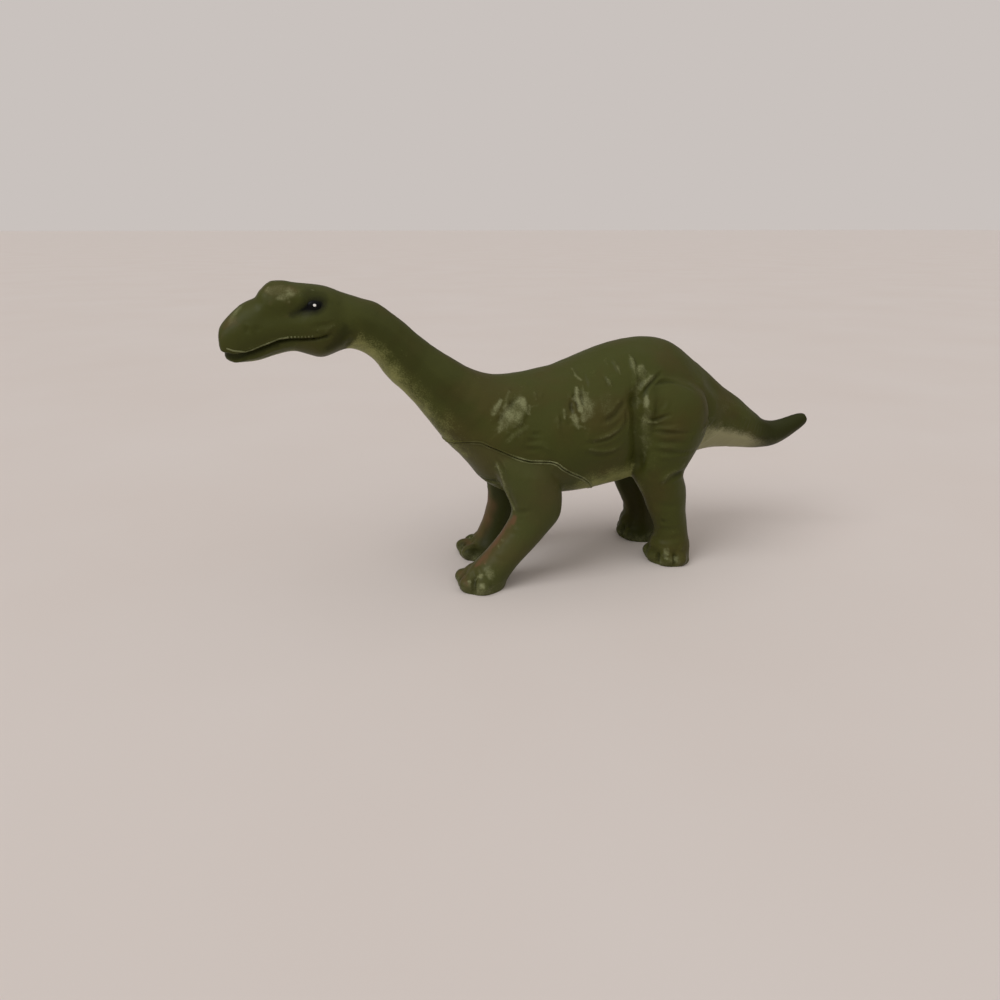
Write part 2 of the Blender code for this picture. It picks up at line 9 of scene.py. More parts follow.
import logging
import math
from dataclasses import dataclass, field
from enum import Enum
from typing import Any, NamedTuple, Sequence

import bmesh
import bpy
import numpy as np
from mathutils import Euler, Matrix, Vector
from mathutils.kdtree import KDTree


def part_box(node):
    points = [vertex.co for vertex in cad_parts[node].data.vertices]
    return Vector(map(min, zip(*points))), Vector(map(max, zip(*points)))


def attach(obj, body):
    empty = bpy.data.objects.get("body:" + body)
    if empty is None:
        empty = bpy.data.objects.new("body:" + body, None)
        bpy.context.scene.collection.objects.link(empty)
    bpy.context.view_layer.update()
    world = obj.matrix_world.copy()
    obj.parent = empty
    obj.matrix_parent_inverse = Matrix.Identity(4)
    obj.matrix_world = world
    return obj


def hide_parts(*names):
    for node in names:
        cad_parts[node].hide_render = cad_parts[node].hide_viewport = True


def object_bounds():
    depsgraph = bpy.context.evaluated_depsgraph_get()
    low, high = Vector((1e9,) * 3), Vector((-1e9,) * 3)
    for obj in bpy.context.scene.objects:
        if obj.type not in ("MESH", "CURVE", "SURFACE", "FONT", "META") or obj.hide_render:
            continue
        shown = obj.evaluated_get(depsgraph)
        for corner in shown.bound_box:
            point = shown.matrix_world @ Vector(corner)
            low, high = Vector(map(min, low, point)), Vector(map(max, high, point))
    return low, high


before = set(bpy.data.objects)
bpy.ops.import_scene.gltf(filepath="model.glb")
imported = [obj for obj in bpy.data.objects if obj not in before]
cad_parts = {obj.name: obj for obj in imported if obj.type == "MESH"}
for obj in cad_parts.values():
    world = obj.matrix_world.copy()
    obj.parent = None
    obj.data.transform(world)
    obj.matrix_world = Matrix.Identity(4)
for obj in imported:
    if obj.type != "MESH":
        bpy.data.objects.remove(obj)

CAD_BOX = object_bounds()
LOG = logging.getLogger("dinosaur")
MM = 0.001
BODY = "root"

Array = np.ndarray
Pixel = tuple[float, float]
Span = tuple[float, float]
Rows = tuple[tuple[float, ...], ...]
WHOLE: Span = (0.0, 1.0)
SMOOTH = {"interpolation_type": "SMOOTHSTEP"}


class Section(NamedTuple):
    """An oval across the figure's middle plane, or beside it at `side`. `tilt` turns its depth axis."""

    x: float
    z: float
    side: float
    depth: float
    width: float
    tilt: float


class Side(Enum):
    """A side of the figure, with the sign of its Y."""

    LEFT = -1
    RIGHT = 1


class Form(Enum):
    """What a stroke of the modelling tool leaves in the skin."""

    CREASE = "a sunk line between two low lips"
    RIDGE = "a raised line"
    FOLD = "a step, high on the left of the stroke and sunk on its right"
    SWELL = "a broad rise, or a hollow where its height is below zero"


class Limb(Enum):
    """What a set of strokes is drawn on, which says where its copy goes on the other side."""

    TRUNK = "straight across"
    FORELEG = "across, and along with the other foreleg's own reach"


@dataclass(frozen=True)
class Stroke:
    """One stroke of the modelling tool, drawn along places in the picture.

    Attributes:
        form: What it leaves in the skin.
        width: Its width in millimetres.
        height: How far it stands up in millimetres.
        path: The places that it runs through, as pixels of the picture.
    """

    form: Form
    width: float
    height: float
    path: tuple[Pixel, ...]


def crease(width: float, depth: float, *path: Pixel) -> Stroke:
    """A sunk line, with its width and depth in millimetres."""
    return Stroke(Form.CREASE, width, depth, path)


def ridge(width: float, height: float, *path: Pixel) -> Stroke:
    """A raised line, with its width and height in millimetres."""
    return Stroke(Form.RIDGE, width, height, path)


def fold(width: float, height: float, *path: Pixel) -> Stroke:
    """A step that is high on the left of the path, with its width and height in millimetres."""
    return Stroke(Form.FOLD, width, height, path)


def swell(width: float, height: float, *path: Pixel) -> Stroke:
    """A broad rise or hollow, with its width and height in millimetres."""
    return Stroke(Form.SWELL, width, height, path)


@dataclass(frozen=True, init=False)
class PaintMark:
    """A mark on the paint, drawn along places in the picture: wear with painted highlight, dirt or a painted warm
    reflection, or painted shade.

    Attributes:
        width: Its width in millimetres.
        strength: How far it goes, from 0 to 1.
        path: The places that it runs through, as pixels of the picture.
    """

    width: float
    strength: float
    path: tuple[Pixel, ...]

    def __init__(self, width: float, strength: float, *path: Pixel) -> None:
        """Takes the width, the strength and the pixels."""
        object.__setattr__(self, "width", width)
        object.__setattr__(self, "strength", strength)
        object.__setattr__(self, "path", path)


HEAD_STROKES = {
    "crest": swell(8.0, 0.12, (267, 294), (274, 288), (284, 287)),
    "crest_front": swell(4.4, 0.25, (265, 291.5), (270, 286)),
    "crest_front_step": fold(3.0, 0.3, (262, 290), (257.5, 297), (266, 304)),
    "brow_ridge": ridge(4.4, 0.3, (276, 301), (285, 297), (295, 294.5), (305, 295), (314, 297)),
    "skull_over_eye": swell(5.0, 0.4, (300, 292), (314, 291), (328, 294)),
    "eye_socket": swell(5.0, -0.55, (298, 310), (306, 308), (317, 305)),
    "hollow_before_eye": swell(4.6, -0.6, (266, 318.5), (276, 317.5), (288, 315.5), (299, 313)),
    "eye_tail": crease(1.2, 0.12, (321, 303.5), (331, 303)),
    "chin": swell(4.6, 1.5, (228, 352.8), (233, 355)),
    "snout_low": swell(4.0, 0.35, (219.5, 340), (224, 346)),
    "snout_side": swell(8.0, 0.15, (236, 334), (256, 333), (276, 329)),
    "nostril_front": swell(1.2, -0.3, (246.5, 328), (247, 331)),
    "nostril_rear": swell(1.1, -0.25, (257, 328.5), (258, 329.5)),
    "nostril_rim": ridge(1.0, 0.15, (244.5, 327), (248, 326), (252, 328)),
    "cheek": swell(6.0, 0.15, (300, 322), (316, 322), (328, 320)),
    "cheek_fold": crease(1.2, 0.25, (314, 327), (325, 326), (333, 324)),
    "cheek_lower_fold": ridge(1.2, 0.28, (316, 329.5), (326, 328), (334.5, 325)),
    "mouth_corner_fold": ridge(1.0, 0.2, (322, 333.5), (332, 330.8)),
    "mouth_corner": crease(1.0, 0.35, (322, 336.5), (328, 335), (332.5, 332.5)),
    "upper_lip": ridge(
        0.8, 0.2, (225, 348.2), (234, 351), (243, 351), (253.5, 348.2), (263.5, 344.8), (273, 340.4),
        (283, 338.2), (294, 337.4), (311, 336.8), (323.5, 335.4),
    ),
    "lower_lip": ridge(1.2, 0.15, (231, 356), (243, 358.5), (257, 357), (270, 351.5), (283, 347.5), (294, 346)),
    "jaw_muscle": swell(6.0, 0.5, (321, 349), (331, 346), (339, 338)),
    "jaw_crease": crease(2.0, 0.3, (346, 333), (348, 338), (349, 342), (349.5, 347)),
    "throat_rise": swell(7.0, -0.5, (352, 346), (362, 350), (375, 362)),
    "ear_hollow": swell(4.0, -0.3, (340, 314), (343, 324)),
    "nape_crease": crease(1.8, 0.12, (341, 296), (344, 303), (348, 312), (351, 320)),
}
NECK_STROKES = {
    "throat_fold": crease(1.6, 0.1, (358, 324), (354, 335), (350, 345)),
    "neck_ring_1": crease(2.2, 0.06, (381, 309), (378, 322), (370, 337)),
    "neck_ring_2": crease(2.2, 0.05, (406, 326), (400, 340), (390, 354)),
    "neck_ring_3": crease(2.4, 0.05, (429, 349), (424, 362), (412, 378)),
    "neck_tendon": swell(7.0, 0.3, (364, 318), (394, 338), (425, 363), (450, 384)),
    "neck_root_fold_1": fold(3.0, 0.12, (478, 378), (470, 395), (462, 408)),
    "neck_root_fold_2": fold(2.6, 0.08, (468, 374), (458, 389), (448, 402)),
    "neck_side_hollow": swell(8.0, -0.4, (455, 402), (470, 412), (482, 424)),
}
SHOULDER_STROKES = {
    "shoulder_plate": fold(4.2, 0.32, (521, 395), (517, 409), (511, 420), (501, 430)),
    "plate_front_groove": crease(1.3, 0.3, (518, 395), (512, 405), (507, 411), (502, 417), (495, 424)),
    "plate_upper_groove": crease(1.0, 0.18, (519, 396.5), (517.5, 405)),
    "plate_middle_ridge": ridge(1.0, 0.1, (512.5, 404.5), (509.5, 410)),
    "plate_rear_edge": fold(1.8, 0.2, (511, 433), (519, 426), (527, 414), (527, 402)),
    "under_plate_groove": crease(1.2, 0.22, (527, 425.5), (518, 429), (511, 435), (507.5, 439)),
    "under_plate_fold": ridge(1.4, 0.25, (525, 429), (516, 432.5), (511.5, 437)),
    "under_plate_swell": swell(4.5, 0.3, (514, 439), (524, 437)),
    "front_streak_1": ridge(1.6, 0.25, (500.5, 402), (497.5, 407.5), (494.5, 413)),
    "front_streak_2": ridge(1.4, 0.3, (508, 398.5), (505, 404)),
    "front_streak_groove": crease(1.4, 0.15, (504, 398), (501, 407), (496.5, 416)),
    "upper_streak": ridge(1.2, 0.22, (509, 387), (507.5, 392)),
    "short_fold_1": ridge(0.9, 0.22, (534, 391.5), (536.3, 399.5)),
    "short_fold_2": ridge(0.9, 0.18, (542, 392.5), (540.5, 398)),
    "short_fold_3": ridge(1.0, 0.18, (525.5, 381), (527, 387)),
    "short_fold_4": ridge(0.9, 0.15, (537.5, 377.5), (539, 382)),
    "shoulder_hollow": swell(8.0, -0.4, (540, 420), (536, 436)),
    "chest_fold_1": crease(1.2, 0.25, (532, 434), (541, 434.5)),
    "chest_fold_2": crease(1.3, 0.25, (527, 441), (538, 442)),
    "chest_fold_3": ridge(1.6, 0.28, (531, 444.5), (543, 445.5), (554, 453)),
    "chest_fold_4": crease(1.3, 0.22, (524, 449.5), (538, 450)),
    "chest_front_fold": fold(2.6, 0.08, (470, 428), (480, 420), (488, 408)),
}
RIB_STROKES = {
    "rib_plate": fold(7.5, 0.45, (589, 390), (591, 403), (590, 418)),
    "rib_fold_1": ridge(1.2, 0.32, (576, 387), (577, 394.7), (578.5, 401), (581, 408), (583, 414)),
    "rib_fold_1_foot": swell(3.0, 0.28, (579, 409), (580, 415)),
    "rib_fold_2": ridge(1.1, 0.25, (582, 385), (583, 391.5), (584.5, 398), (586, 406), (586.5, 412)),
    "rib_fold_3": ridge(1.3, 0.34, (572.7, 401), (574, 406), (575.4, 412), (574, 417)),
    "rib_fold_4": ridge(1.0, 0.18, (570, 393.5), (569.6, 400)),
    "rib_groove_1": crease(1.0, 0.28, (574, 391), (575.5, 400), (578, 408)),
    "rib_groove_2": crease(0.9, 0.2, (580, 389), (581.5, 398), (584, 407)),
    "rib_groove_3": crease(1.0, 0.36, (571.3, 400), (571.8, 411)),
    "rib_streak_1": ridge(1.2, 0.3, (564, 409), (564.2, 416), (566.5, 421)),
    "rib_streak_1_groove": crease(1.0, 0.22, (562, 412), (562, 424)),
    "rib_streak_2": ridge(1.4, 0.25, (558, 417), (557.5, 424), (561, 434)),
    "rib_foot": ridge(1.2, 0.25, (575.5, 421.5), (573.8, 426.5), (579, 430)),
    "back_fold_1": ridge(1.1, 0.25, (572, 369.5), (573.5, 371), (577.5, 376)),
    "back_fold_1_groove": crease(1.0, 0.14, (570.5, 371.5), (573.5, 375.5)),
    "back_fold_2": ridge(1.1, 0.28, (610.5, 358), (615.8, 364.4), (620, 375)),
    "back_fold_3": ridge(1.0, 0.26, (606, 376), (612.2, 387)),
    "back_fold_3_groove": crease(0.9, 0.18, (603.5, 377), (609, 387)),
    "back_fold_4": ridge(1.0, 0.12, (582, 372), (584, 375)),
    "back_fold_5": ridge(0.9, 0.15, (605, 359.5), (608, 364)),
    "back_fold_6": ridge(0.9, 0.1, (598, 365), (601, 369)),
}
BELLY_STROKES = {
    "swirl_inner": crease(1.7, 0.45, (623, 403), (617.5, 412), (611, 418), (604.5, 422)),
    "swirl_inner_light": ridge(1.2, 0.22, (613, 421), (606, 425)),
    "swirl_top_light": ridge(1.1, 0.2, (621, 400.5), (618, 403.5)),
    "swirl_middle": ridge(1.3, 0.34, (625, 417), (621, 425), (618, 430), (611.8, 434), (606, 437), (594, 441)),
    "swirl_middle_groove": crease(1.2, 0.4, (620, 431), (610, 438), (600, 441.5), (588, 443)),
    "swirl_outer": ridge(1.6, 0.32, (622, 444.5), (614, 449.5), (607.8, 451), (600, 451.3), (592, 449.8), (584, 449)),
    "swirl_outer_groove": crease(1.7, 0.28, (618, 452), (603, 456), (589, 454.5)),
    "flank_line_1": ridge(1.0, 0.28, (628.8, 410), (629.6, 424), (628, 435)),
    "flank_line_2": crease(1.0, 0.25, (626.6, 411), (627.2, 425)),
    "flank_hollow": swell(9.0, -0.4, (560, 452), (580, 460), (600, 464)),
}
THIGH_STROKES = {
    "trough": swell(4.6, -2.0, (637.5, 401), (638.5, 411), (639, 425), (639, 440), (639, 452), (638, 462)),
    "trough_head": swell(3.2, -0.8, (640.5, 384), (637.5, 393), (637.5, 402)),
    "thigh_front_edge": swell(3.2, 0.8, (647, 408), (647.5, 425), (647, 440), (646.5, 456), (646, 466)),
    "thigh_knob_1": swell(1.7, 0.22, (645, 409), (650, 410)),
    "thigh_knob_2": swell(1.5, 0.22, (645, 419.5), (650, 420.5)),
    "thigh_knob_3": swell(1.5, 0.2, (645, 427), (650, 427)),
    "thigh_knob_4": swell(1.5, 0.18, (645, 432.5), (650, 432.5)),
    "thigh_knob_5": swell(1.6, 0.18, (645, 440.5), (649, 440.5)),
    "thigh_knob_6": swell(1.6, 0.15, (644.5, 448), (649, 448)),
    "y_ridge_front": ridge(1.8, 0.45, (629, 355), (633, 366), (636, 376), (636, 386), (636.5, 394)),
    "y_ridge_front_2": ridge(1.2, 0.25, (631, 359), (634.5, 369)),
    "y_ridge_middle": ridge(2.0, 0.45, (642, 367), (641, 374), (639.5, 381)),
    "y_ridge_rear": ridge(1.9, 0.4, (655, 374.5), (647.5, 380.5), (642, 386), (638.5, 392.5)),
    "y_ridge_foot": ridge(1.6, 0.3, (638.5, 394), (639.5, 402), (640.5, 408)),
    "y_groove": crease(1.5, 0.4, (637, 371), (640, 381), (638.5, 390)),
    "hip_arch": crease(1.15, 0.5, (661, 373.5), (653.5, 380), (647.5, 387), (644.5, 393.5), (643.5, 400)),
    "hip_arch_top": crease(1.3, 0.4, (655, 384.5), (663, 382.5), (671, 382), (678, 383.5)),
    "hip_arch_end": crease(1.4, 0.2, (676, 383), (686, 386), (694, 391)),
    "quad": swell(5.6, 1.0, (650.5, 400.5), (650.5, 409)),
    "quad_front": swell(2.0, 0.35, (646, 399), (645.5, 404.5)),
    "quad_rear_arc": crease(1.4, 0.18, (662, 397), (664, 403.5), (660, 410)),
    "quad_rear_light": ridge(1.3, 0.1, (667, 399), (666.5, 406), (661.5, 411.5)),
    "quad_below": crease(1.05, 0.45, (643, 416.5), (650, 419), (657, 419.2), (664, 417), (670, 415)),
    "fold_1": ridge(1.2, 0.2, (644, 420.5), (654, 422), (669, 418.5)),
    "fold_2": crease(1.2, 0.2, (650, 425), (664, 426), (678, 424)),
    "fold_3": ridge(1.5, 0.25, (660, 428), (675, 428.5), (689, 427)),
    "fold_4": crease(1.2, 0.32, (650, 430), (664, 432), (680, 433.5), (693, 432)),
    "fold_5": ridge(1.4, 0.2, (657, 435.5), (668, 437), (683, 436.5)),
    "fold_6": crease(1.3, 0.25, (654, 441), (667, 443), (686, 442)),
    "fold_7": ridge(1.4, 0.28, (656, 447), (667, 446.5), (680, 448)),
    "fold_8": crease(1.3, 0.28, (655, 451.5), (671, 453), (692, 451.5)),
    "fold_9": ridge(1.5, 0.22, (660, 456.5), (673, 458)),
    "knee_front": swell(5.0, 0.2, (650, 470), (660, 462)),
    "knee_rear_ridge": ridge(2.6, 0.35, (685, 464.5), (676, 470), (667.5, 476), (662, 484)),
    "knee_rear_crease": crease(1.8, 0.55, (684, 471), (677, 474.5), (670, 478.5), (665, 484)),
    "knee_v_front": crease(1.6, 0.15, (645, 466), (650, 474), (656, 481)),
    "knee_under": ridge(1.6, 0.2, (658, 481), (668, 479), (677, 474)),
    "shank_fold_1": crease(1.8, 0.16, (656, 504), (666, 506), (678, 505)),
    "shank_dimple": crease(1.5, 0.35, (660.5, 521), (665.5, 522)),
    "shank_fold_3": crease(1.6, 0.14, (656, 527), (666, 530), (678, 528)),
    "ankle_fold_1": crease(1.6, 0.18, (656, 537), (666, 540), (681, 537)),
    "shank_tendon": swell(4.0, 0.3, (672, 480), (676, 500), (678, 522)),
}
TAIL_STROKES = {
    "rump_top": swell(11.0, -0.9, (685, 349), (699, 364), (712, 381)),
    "thigh_rear_fill": swell(6.0, 0.6, (703, 387), (711, 399), (713, 412)),
    "tail_root_1": ridge(1.1, 0.3, (712, 416.5), (707, 422.5), (702, 429)),
    "tail_root_2": ridge(1.1, 0.3, (717, 424.5), (710, 431.5), (703, 439)),
    "tail_root_3": ridge(1.1, 0.28, (721, 429.5), (711, 437), (699.5, 445)),
    "tail_root_4": crease(1.0, 0.25, (715, 419.5), (708, 427), (702, 434)),
    "tail_root_5": crease(1.0, 0.25, (719, 427.5), (709, 435.5), (701, 442.5)),
    "tail_edge": fold(5.0, 0.3, (760, 419), (742, 407), (722, 397), (703, 385)),
    "tail_side": crease(2.4, 0.2, (718, 408), (736, 420), (762, 430), (782, 432)),
    "tail_under_fold": crease(1.6, 0.15, (728, 440), (746, 443), (764, 439)),
}
FORELEG_STROKES = {
    "leg_top_streak_1": ridge(1.2, 0.3, (495, 460), (499, 466), (502, 473)),
    "leg_top_streak_2": ridge(1.2, 0.25, (499.5, 458.5), (504.5, 466), (507, 474)),
    "leg_top_groove": crease(1.1, 0.28, (497.5, 459.5), (502, 466.5), (505, 475)),
    "leg_chest_crease": crease(1.6, 0.5, (484, 478), (492, 481), (499, 482)),
    "inner_edge": fold(2.2, 0.3, (514, 512), (509, 496), (504, 481)),
    "elbow_bump_1": swell(2.6, 0.22, (530, 478), (534, 479)),
    "elbow_bump_2": swell(3.4, 0.25, (539, 483), (544, 484)),
    "elbow_fold": crease(1.5, 0.22, (515, 511), (522, 512.5), (530, 511)),
    "wrinkle_1": ridge(1.2, 0.07, (517, 522), (524, 525)),
    "wrinkle_2": ridge(1.2, 0.07, (512, 528.5), (519, 531)),
    "wrinkle_3": crease(1.4, 0.06, (508, 532), (516, 535)),
    "wrist_bump": swell(2.0, 0.12, (502, 539), (504, 542)),
    "wrist_ring": ridge(1.3, 0.06, (497, 545), (501, 546), (502, 551)),
    "wrist_fold": crease(1.6, 0.12, (492, 556), (500, 560), (508, 561)),
}
# Wear of the paint on raised places, with painted highlights where light catches them; brow_speck is a painted glint.
WEAR_AND_HIGHLIGHT_PLACES = {
    "crest": PaintMark(3.6, 0.65, (268, 290), (278, 289), (290, 291)),
    "brow": PaintMark(2.2, 0.95, (279, 298), (286, 295.5), (292, 293)),
    "brow_speck": PaintMark(0.5, 1.0, (311.5, 290), (314, 290.3)),
    "snout": PaintMark(3.0, 0.6, (230, 322), (233, 315), (240, 307)),
    "cheek_line": PaintMark(0.8, 0.4, (318, 330), (327, 328), (334.5, 325)),
    "shoulder_plate": PaintMark(5.2, 0.8, (519, 401), (515, 409), (510, 416), (501.5, 427)),
    "shoulder_rear": PaintMark(2.8, 0.95, (523, 400), (522.5, 410), (516, 420)),
    "shoulder_streak": PaintMark(1.7, 1.0, (501, 400), (497, 407), (493.5, 414)),
    "shoulder_streak_2": PaintMark(1.3, 0.6, (509, 391), (506, 400)),
    "under_plate": PaintMark(3.0, 0.35, (526, 429), (516, 435), (508, 440)),
    "shoulder_short": PaintMark(0.7, 0.5, (534.5, 392), (536.3, 399.5)),
    "rib_fold_1": PaintMark(2.2, 1.1, (576.5, 388), (578, 397), (579.5, 404), (582, 411)),
    "rib_fold_2": PaintMark(1.1, 0.8, (582.5, 386), (584.5, 398), (586, 410)),
    "rib_plate": PaintMark(3.6, 0.8, (586, 399), (588, 409), (584, 418)),
    "rib_3": PaintMark(1.6, 0.5, (592, 400), (592.5, 413)),
    "rib_foot": PaintMark(2.2, 0.9, (575, 416), (576.5, 425)),
    "rib_streak": PaintMark(1.3, 0.8, (564, 410), (564.5, 418)),
    "rib_streak_2": PaintMark(1.2, 0.4, (557.5, 418), (558, 428)),
    "back_line_1": PaintMark(0.8, 0.8, (571.5, 368), (575, 374), (580.5, 380)),
    "back_line_2": PaintMark(0.8, 0.6, (613, 360), (617.5, 367), (620, 374)),
    "back_line_3": PaintMark(0.7, 0.6, (606, 377), (611.5, 386)),
    "back_line_4": PaintMark(0.7, 0.4, (604, 360), (608, 365)),
    "y_ridge": PaintMark(1.3, 0.7, (629.5, 355), (633, 365), (636, 376)),
    "y_patch": PaintMark(3.6, 0.75, (641, 368), (640, 379), (637, 391)),
    "y_ridge_rear": PaintMark(2.0, 0.8, (654, 376), (645, 383), (640, 390)),
    "y_ridge_foot": PaintMark(1.6, 0.6, (637, 398), (638, 408)),
    "quad_front": PaintMark(1.7, 1.0, (646.5, 397), (646.5, 406)),
    "quad_under": PaintMark(1.0, 0.6, (643, 421), (650, 422.5), (656, 422)),
    "thigh_edge": PaintMark(3.6, 0.5, (645.5, 408), (645, 420), (645.5, 432), (645, 446), (644, 462)),
    "flank_arc": PaintMark(1.2, 0.4, (621, 427), (611, 435), (594, 442)),
    "flank_arc_2": PaintMark(1.2, 0.4, (620, 446), (608, 450.5), (590, 449.5)),
    "tail_root": PaintMark(1.6, 0.6, (712, 418), (703, 431)),
    "tail_root_2": PaintMark(1.0, 0.5, (716, 425), (703, 439)),
    "knee_rear": PaintMark(1.6, 0.4, (684, 465), (668, 476), (662, 485)),
    "toe_1": PaintMark(1.9, 1.0, (665.5, 551), (667, 553)),
    "toe_2": PaintMark(2.0, 1.1, (675.5, 559), (677, 561)),
    "toe_3": PaintMark(1.3, 0.8, (665.5, 558), (667, 559)),
    "fore_toe_1": PaintMark(1.3, 1.0, (468, 581), (470.5, 582)),
    "fore_toe_2": PaintMark(1.5, 1.0, (481.5, 585.5), (483.5, 587)),
    "fore_toe_ridge": PaintMark(0.9, 0.9, (482, 575), (475, 580)),
    "fore_foot_side": PaintMark(2.4, 0.9, (486, 569), (489, 573), (490, 578)),
    "elbow_edge": PaintMark(1.5, 0.8, (496.5, 464), (502, 478), (507.5, 494), (513.5, 509)),
    "wrist": PaintMark(0.9, 0.6, (501.5, 540), (503.5, 541)),
    "wrist_2": PaintMark(0.9, 0.6, (498, 545), (500, 549)),
}
# Dirt on the shanks and toes; on the crest and snout the same warm colour is a painted reflection.
STAIN_AND_REFLECTION_PLACES = {
    "left_shank_front": PaintMark(3.8, 0.85, (514, 518), (505, 528), (496, 541), (486, 554), (477, 565)),
    "crest": PaintMark(6.0, 0.35, (268, 290), (282, 289), (292, 290)),
    "snout": PaintMark(4.6, 0.45, (228, 322), (240, 304), (252, 298)),
    "fore_toes": PaintMark(3.2, 0.5, (460, 573), (466, 582)),
}
# Painted shade in creases, hollows and shaded places, laid with the dark fold colour.
SHADED_PLACES = {
    "jaw_rear": PaintMark(5.0, 0.7, (330, 348), (340, 339), (345, 328)),
    "over_eye": PaintMark(4.4, 0.6, (304, 296), (315, 293.5), (325, 298)),
    "behind_eye": PaintMark(4.6, 0.4, (319, 305), (326, 304), (332, 303.5)),
    "under_eye": PaintMark(4.2, 0.45, (299, 311.5), (308, 312.5), (318, 312)),
    "neck_band": PaintMark(9.0, 0.32, (368, 310), (398, 332), (430, 363), (455, 388), (472, 405)),
    "thigh_rear": PaintMark(2.2, 0.45, (702, 398), (704.5, 408), (705, 420), (703.5, 432)),
    "hollow_before_eye": PaintMark(2.4, 0.3, (272, 318), (288, 316), (300, 315)),
    "under_lip": PaintMark(1.8, 0.65, (229, 354), (238, 355.8), (248, 355), (258, 351.8), (268, 347.8), (278, 344.5)),
    "front_of_rib": PaintMark(0.8, 0.6, (571.5, 402), (572, 412)),
    "swirl": PaintMark(1.8, 0.5, (622, 404), (615, 414), (606, 421)),
    "swirl_low": PaintMark(1.4, 0.4, (619, 432), (607, 439), (590, 443)),
    "trough": PaintMark(3.4, 0.35, (632, 412), (633, 430), (633, 450), (634, 474)),
    "hip_arch": PaintMark(0.9, 0.6, (659, 375), (650, 383), (645, 391)),
    "hip_arch_top": PaintMark(1.2, 0.6, (655, 384.5), (664, 382.5), (674, 382.5)),
    "hip_arch_end": PaintMark(1.8, 0.35, (676, 383), (690, 387), (700, 396), (706, 408)),
    "thigh_groove": PaintMark(1.4, 0.5, (654, 431), (668, 432.5), (690, 432)),
    "thigh_groove_2": PaintMark(1.4, 0.35, (656, 443), (670, 443), (688, 442)),
    "thigh_groove_3": PaintMark(1.4, 0.35, (658, 453), (672, 453), (692, 451)),
    "hind_toe": PaintMark(3.0, 0.5, (648, 545), (655, 550)),
}
SEAM_NICK = swell(1.4, -0.5, (550, 463), (552, 464))
STROKE_SETS = (
    (Limb.TRUNK, HEAD_STROKES),
    (Limb.TRUNK, NECK_STROKES),
    (Limb.TRUNK, SHOULDER_STROKES),
    (Limb.TRUNK, RIB_STROKES),
    (Limb.TRUNK, BELLY_STROKES),
    (Limb.TRUNK, THIGH_STROKES),
    (Limb.TRUNK, TAIL_STROKES),
    (Limb.TRUNK, {"seam_nick": SEAM_NICK}),
    (Limb.FORELEG, FORELEG_STROKES),
)


def linear(code: str) -> tuple[float, float, float, float]:
    """The linear colour of an sRGB code such as #80FF00, with an alpha of 1."""
    shares = [int(code[i : i + 2], 16) / 255 for i in (1, 3, 5)]
    light = [c / 12.92 if c <= 0.04045 else ((c + 0.055) / 1.055) ** 2.4 for c in shares]
    return light[0], light[1], light[2], 1.0


def add_node(
    tree: bpy.types.NodeTree,
    kind: str,
    settings: dict[str, Any] | None = None,
    sockets: dict[str | int, Any] | None = None,
) -> bpy.types.Node:
    """Adds a node to a tree.

    Args:
        tree: The tree that gets the node.
        kind: The node's type.
        settings: Properties of the node itself.
        sockets: What each input gets, by name or number: a value, or another node's output to link.

    Returns:
        The node.
    """
    made = tree.nodes.new(kind)
    for name, value in (settings or {}).items():
        setattr(made, name, value)
    for name, value in (sockets or {}).items():
        if isinstance(value, bpy.types.NodeSocket):
            tree.links.new(value, made.inputs[name])
        else:
            made.inputs[name].default_value = value
    return made


def spline(points: Sequence[Sequence[float]] | Array, steps: int) -> Array:
    """The rows of a smooth curve through some rows, with `steps` of them for each span."""
    rows = np.asarray(points, float)
    ends = np.vstack([2 * rows[0] - rows[1], rows, 2 * rows[-1] - rows[-2]])
    made = []
    for i in range(1, len(rows)):
        before, here, after, beyond = ends[i - 1], ends[i], ends[i + 1], ends[i + 2]
        for t in np.arange(steps) / steps:
            bend = 2 * before - 5 * here + 4 * after - beyond
            twist = 3 * here - before - 3 * after + beyond
            made.append(0.5 * (2 * here + (after - before) * t + bend * t**2 + twist * t**3))
    made.append(rows[-1])
    return np.array(made)


def ease(low: float, high: float, values: Array) -> Array:
    """A smooth rise from 0 at `low` to 1 at `high`."""
    share = np.clip((values - low) / (high - low), 0.0, 1.0)
    return share * share * (3 - 2 * share)


def noise(places: Array, size: float, seed: int) -> Array:
    """Smooth random heights from -1 to 1 at some places, with bumps `size` wide, in the pattern of a seed."""
    cells = 32
    lattice = np.random.default_rng(seed).uniform(-1, 1, (cells, cells, cells))
    scaled = places / size
    corner = np.floor(scaled).astype(int)
    share = scaled - corner
    share = share * share * (3 - 2 * share)
    total = np.zeros(len(places))
    for step in np.ndindex(2, 2, 2):
        weight = np.prod(np.where(step, share, 1 - share), axis=1)
        index = (corner + step) % cells
        total += weight * lattice[index[:, 0], index[:, 1], index[:, 2]]
    return total


def read(mesh: bpy.types.Mesh, key: str) -> Array:
    """A row for each vertex of a mesh, of its places (co) or the ways that it faces (normal)."""
    values = np.empty(len(mesh.vertices) * 3, np.float32)
    mesh.vertices.foreach_get(key, values)
    return values.reshape(-1, 3).astype(float)


def evaluated_mesh(obj: bpy.types.Object) -> bpy.types.Mesh:
    """A plain mesh of the object with its modifiers applied. The object is removed."""
    graph = bpy.context.evaluated_depsgraph_get()
    mesh = bpy.data.meshes.new_from_object(obj.evaluated_get(graph))
    bpy.data.objects.remove(obj)
    return mesh


def place_object(name: str, data: bpy.types.ID) -> bpy.types.Object:
    """A new object at the origin, in the scene."""
    obj = bpy.data.objects.new(name, data)
    bpy.context.scene.collection.objects.link(obj)
    return obj


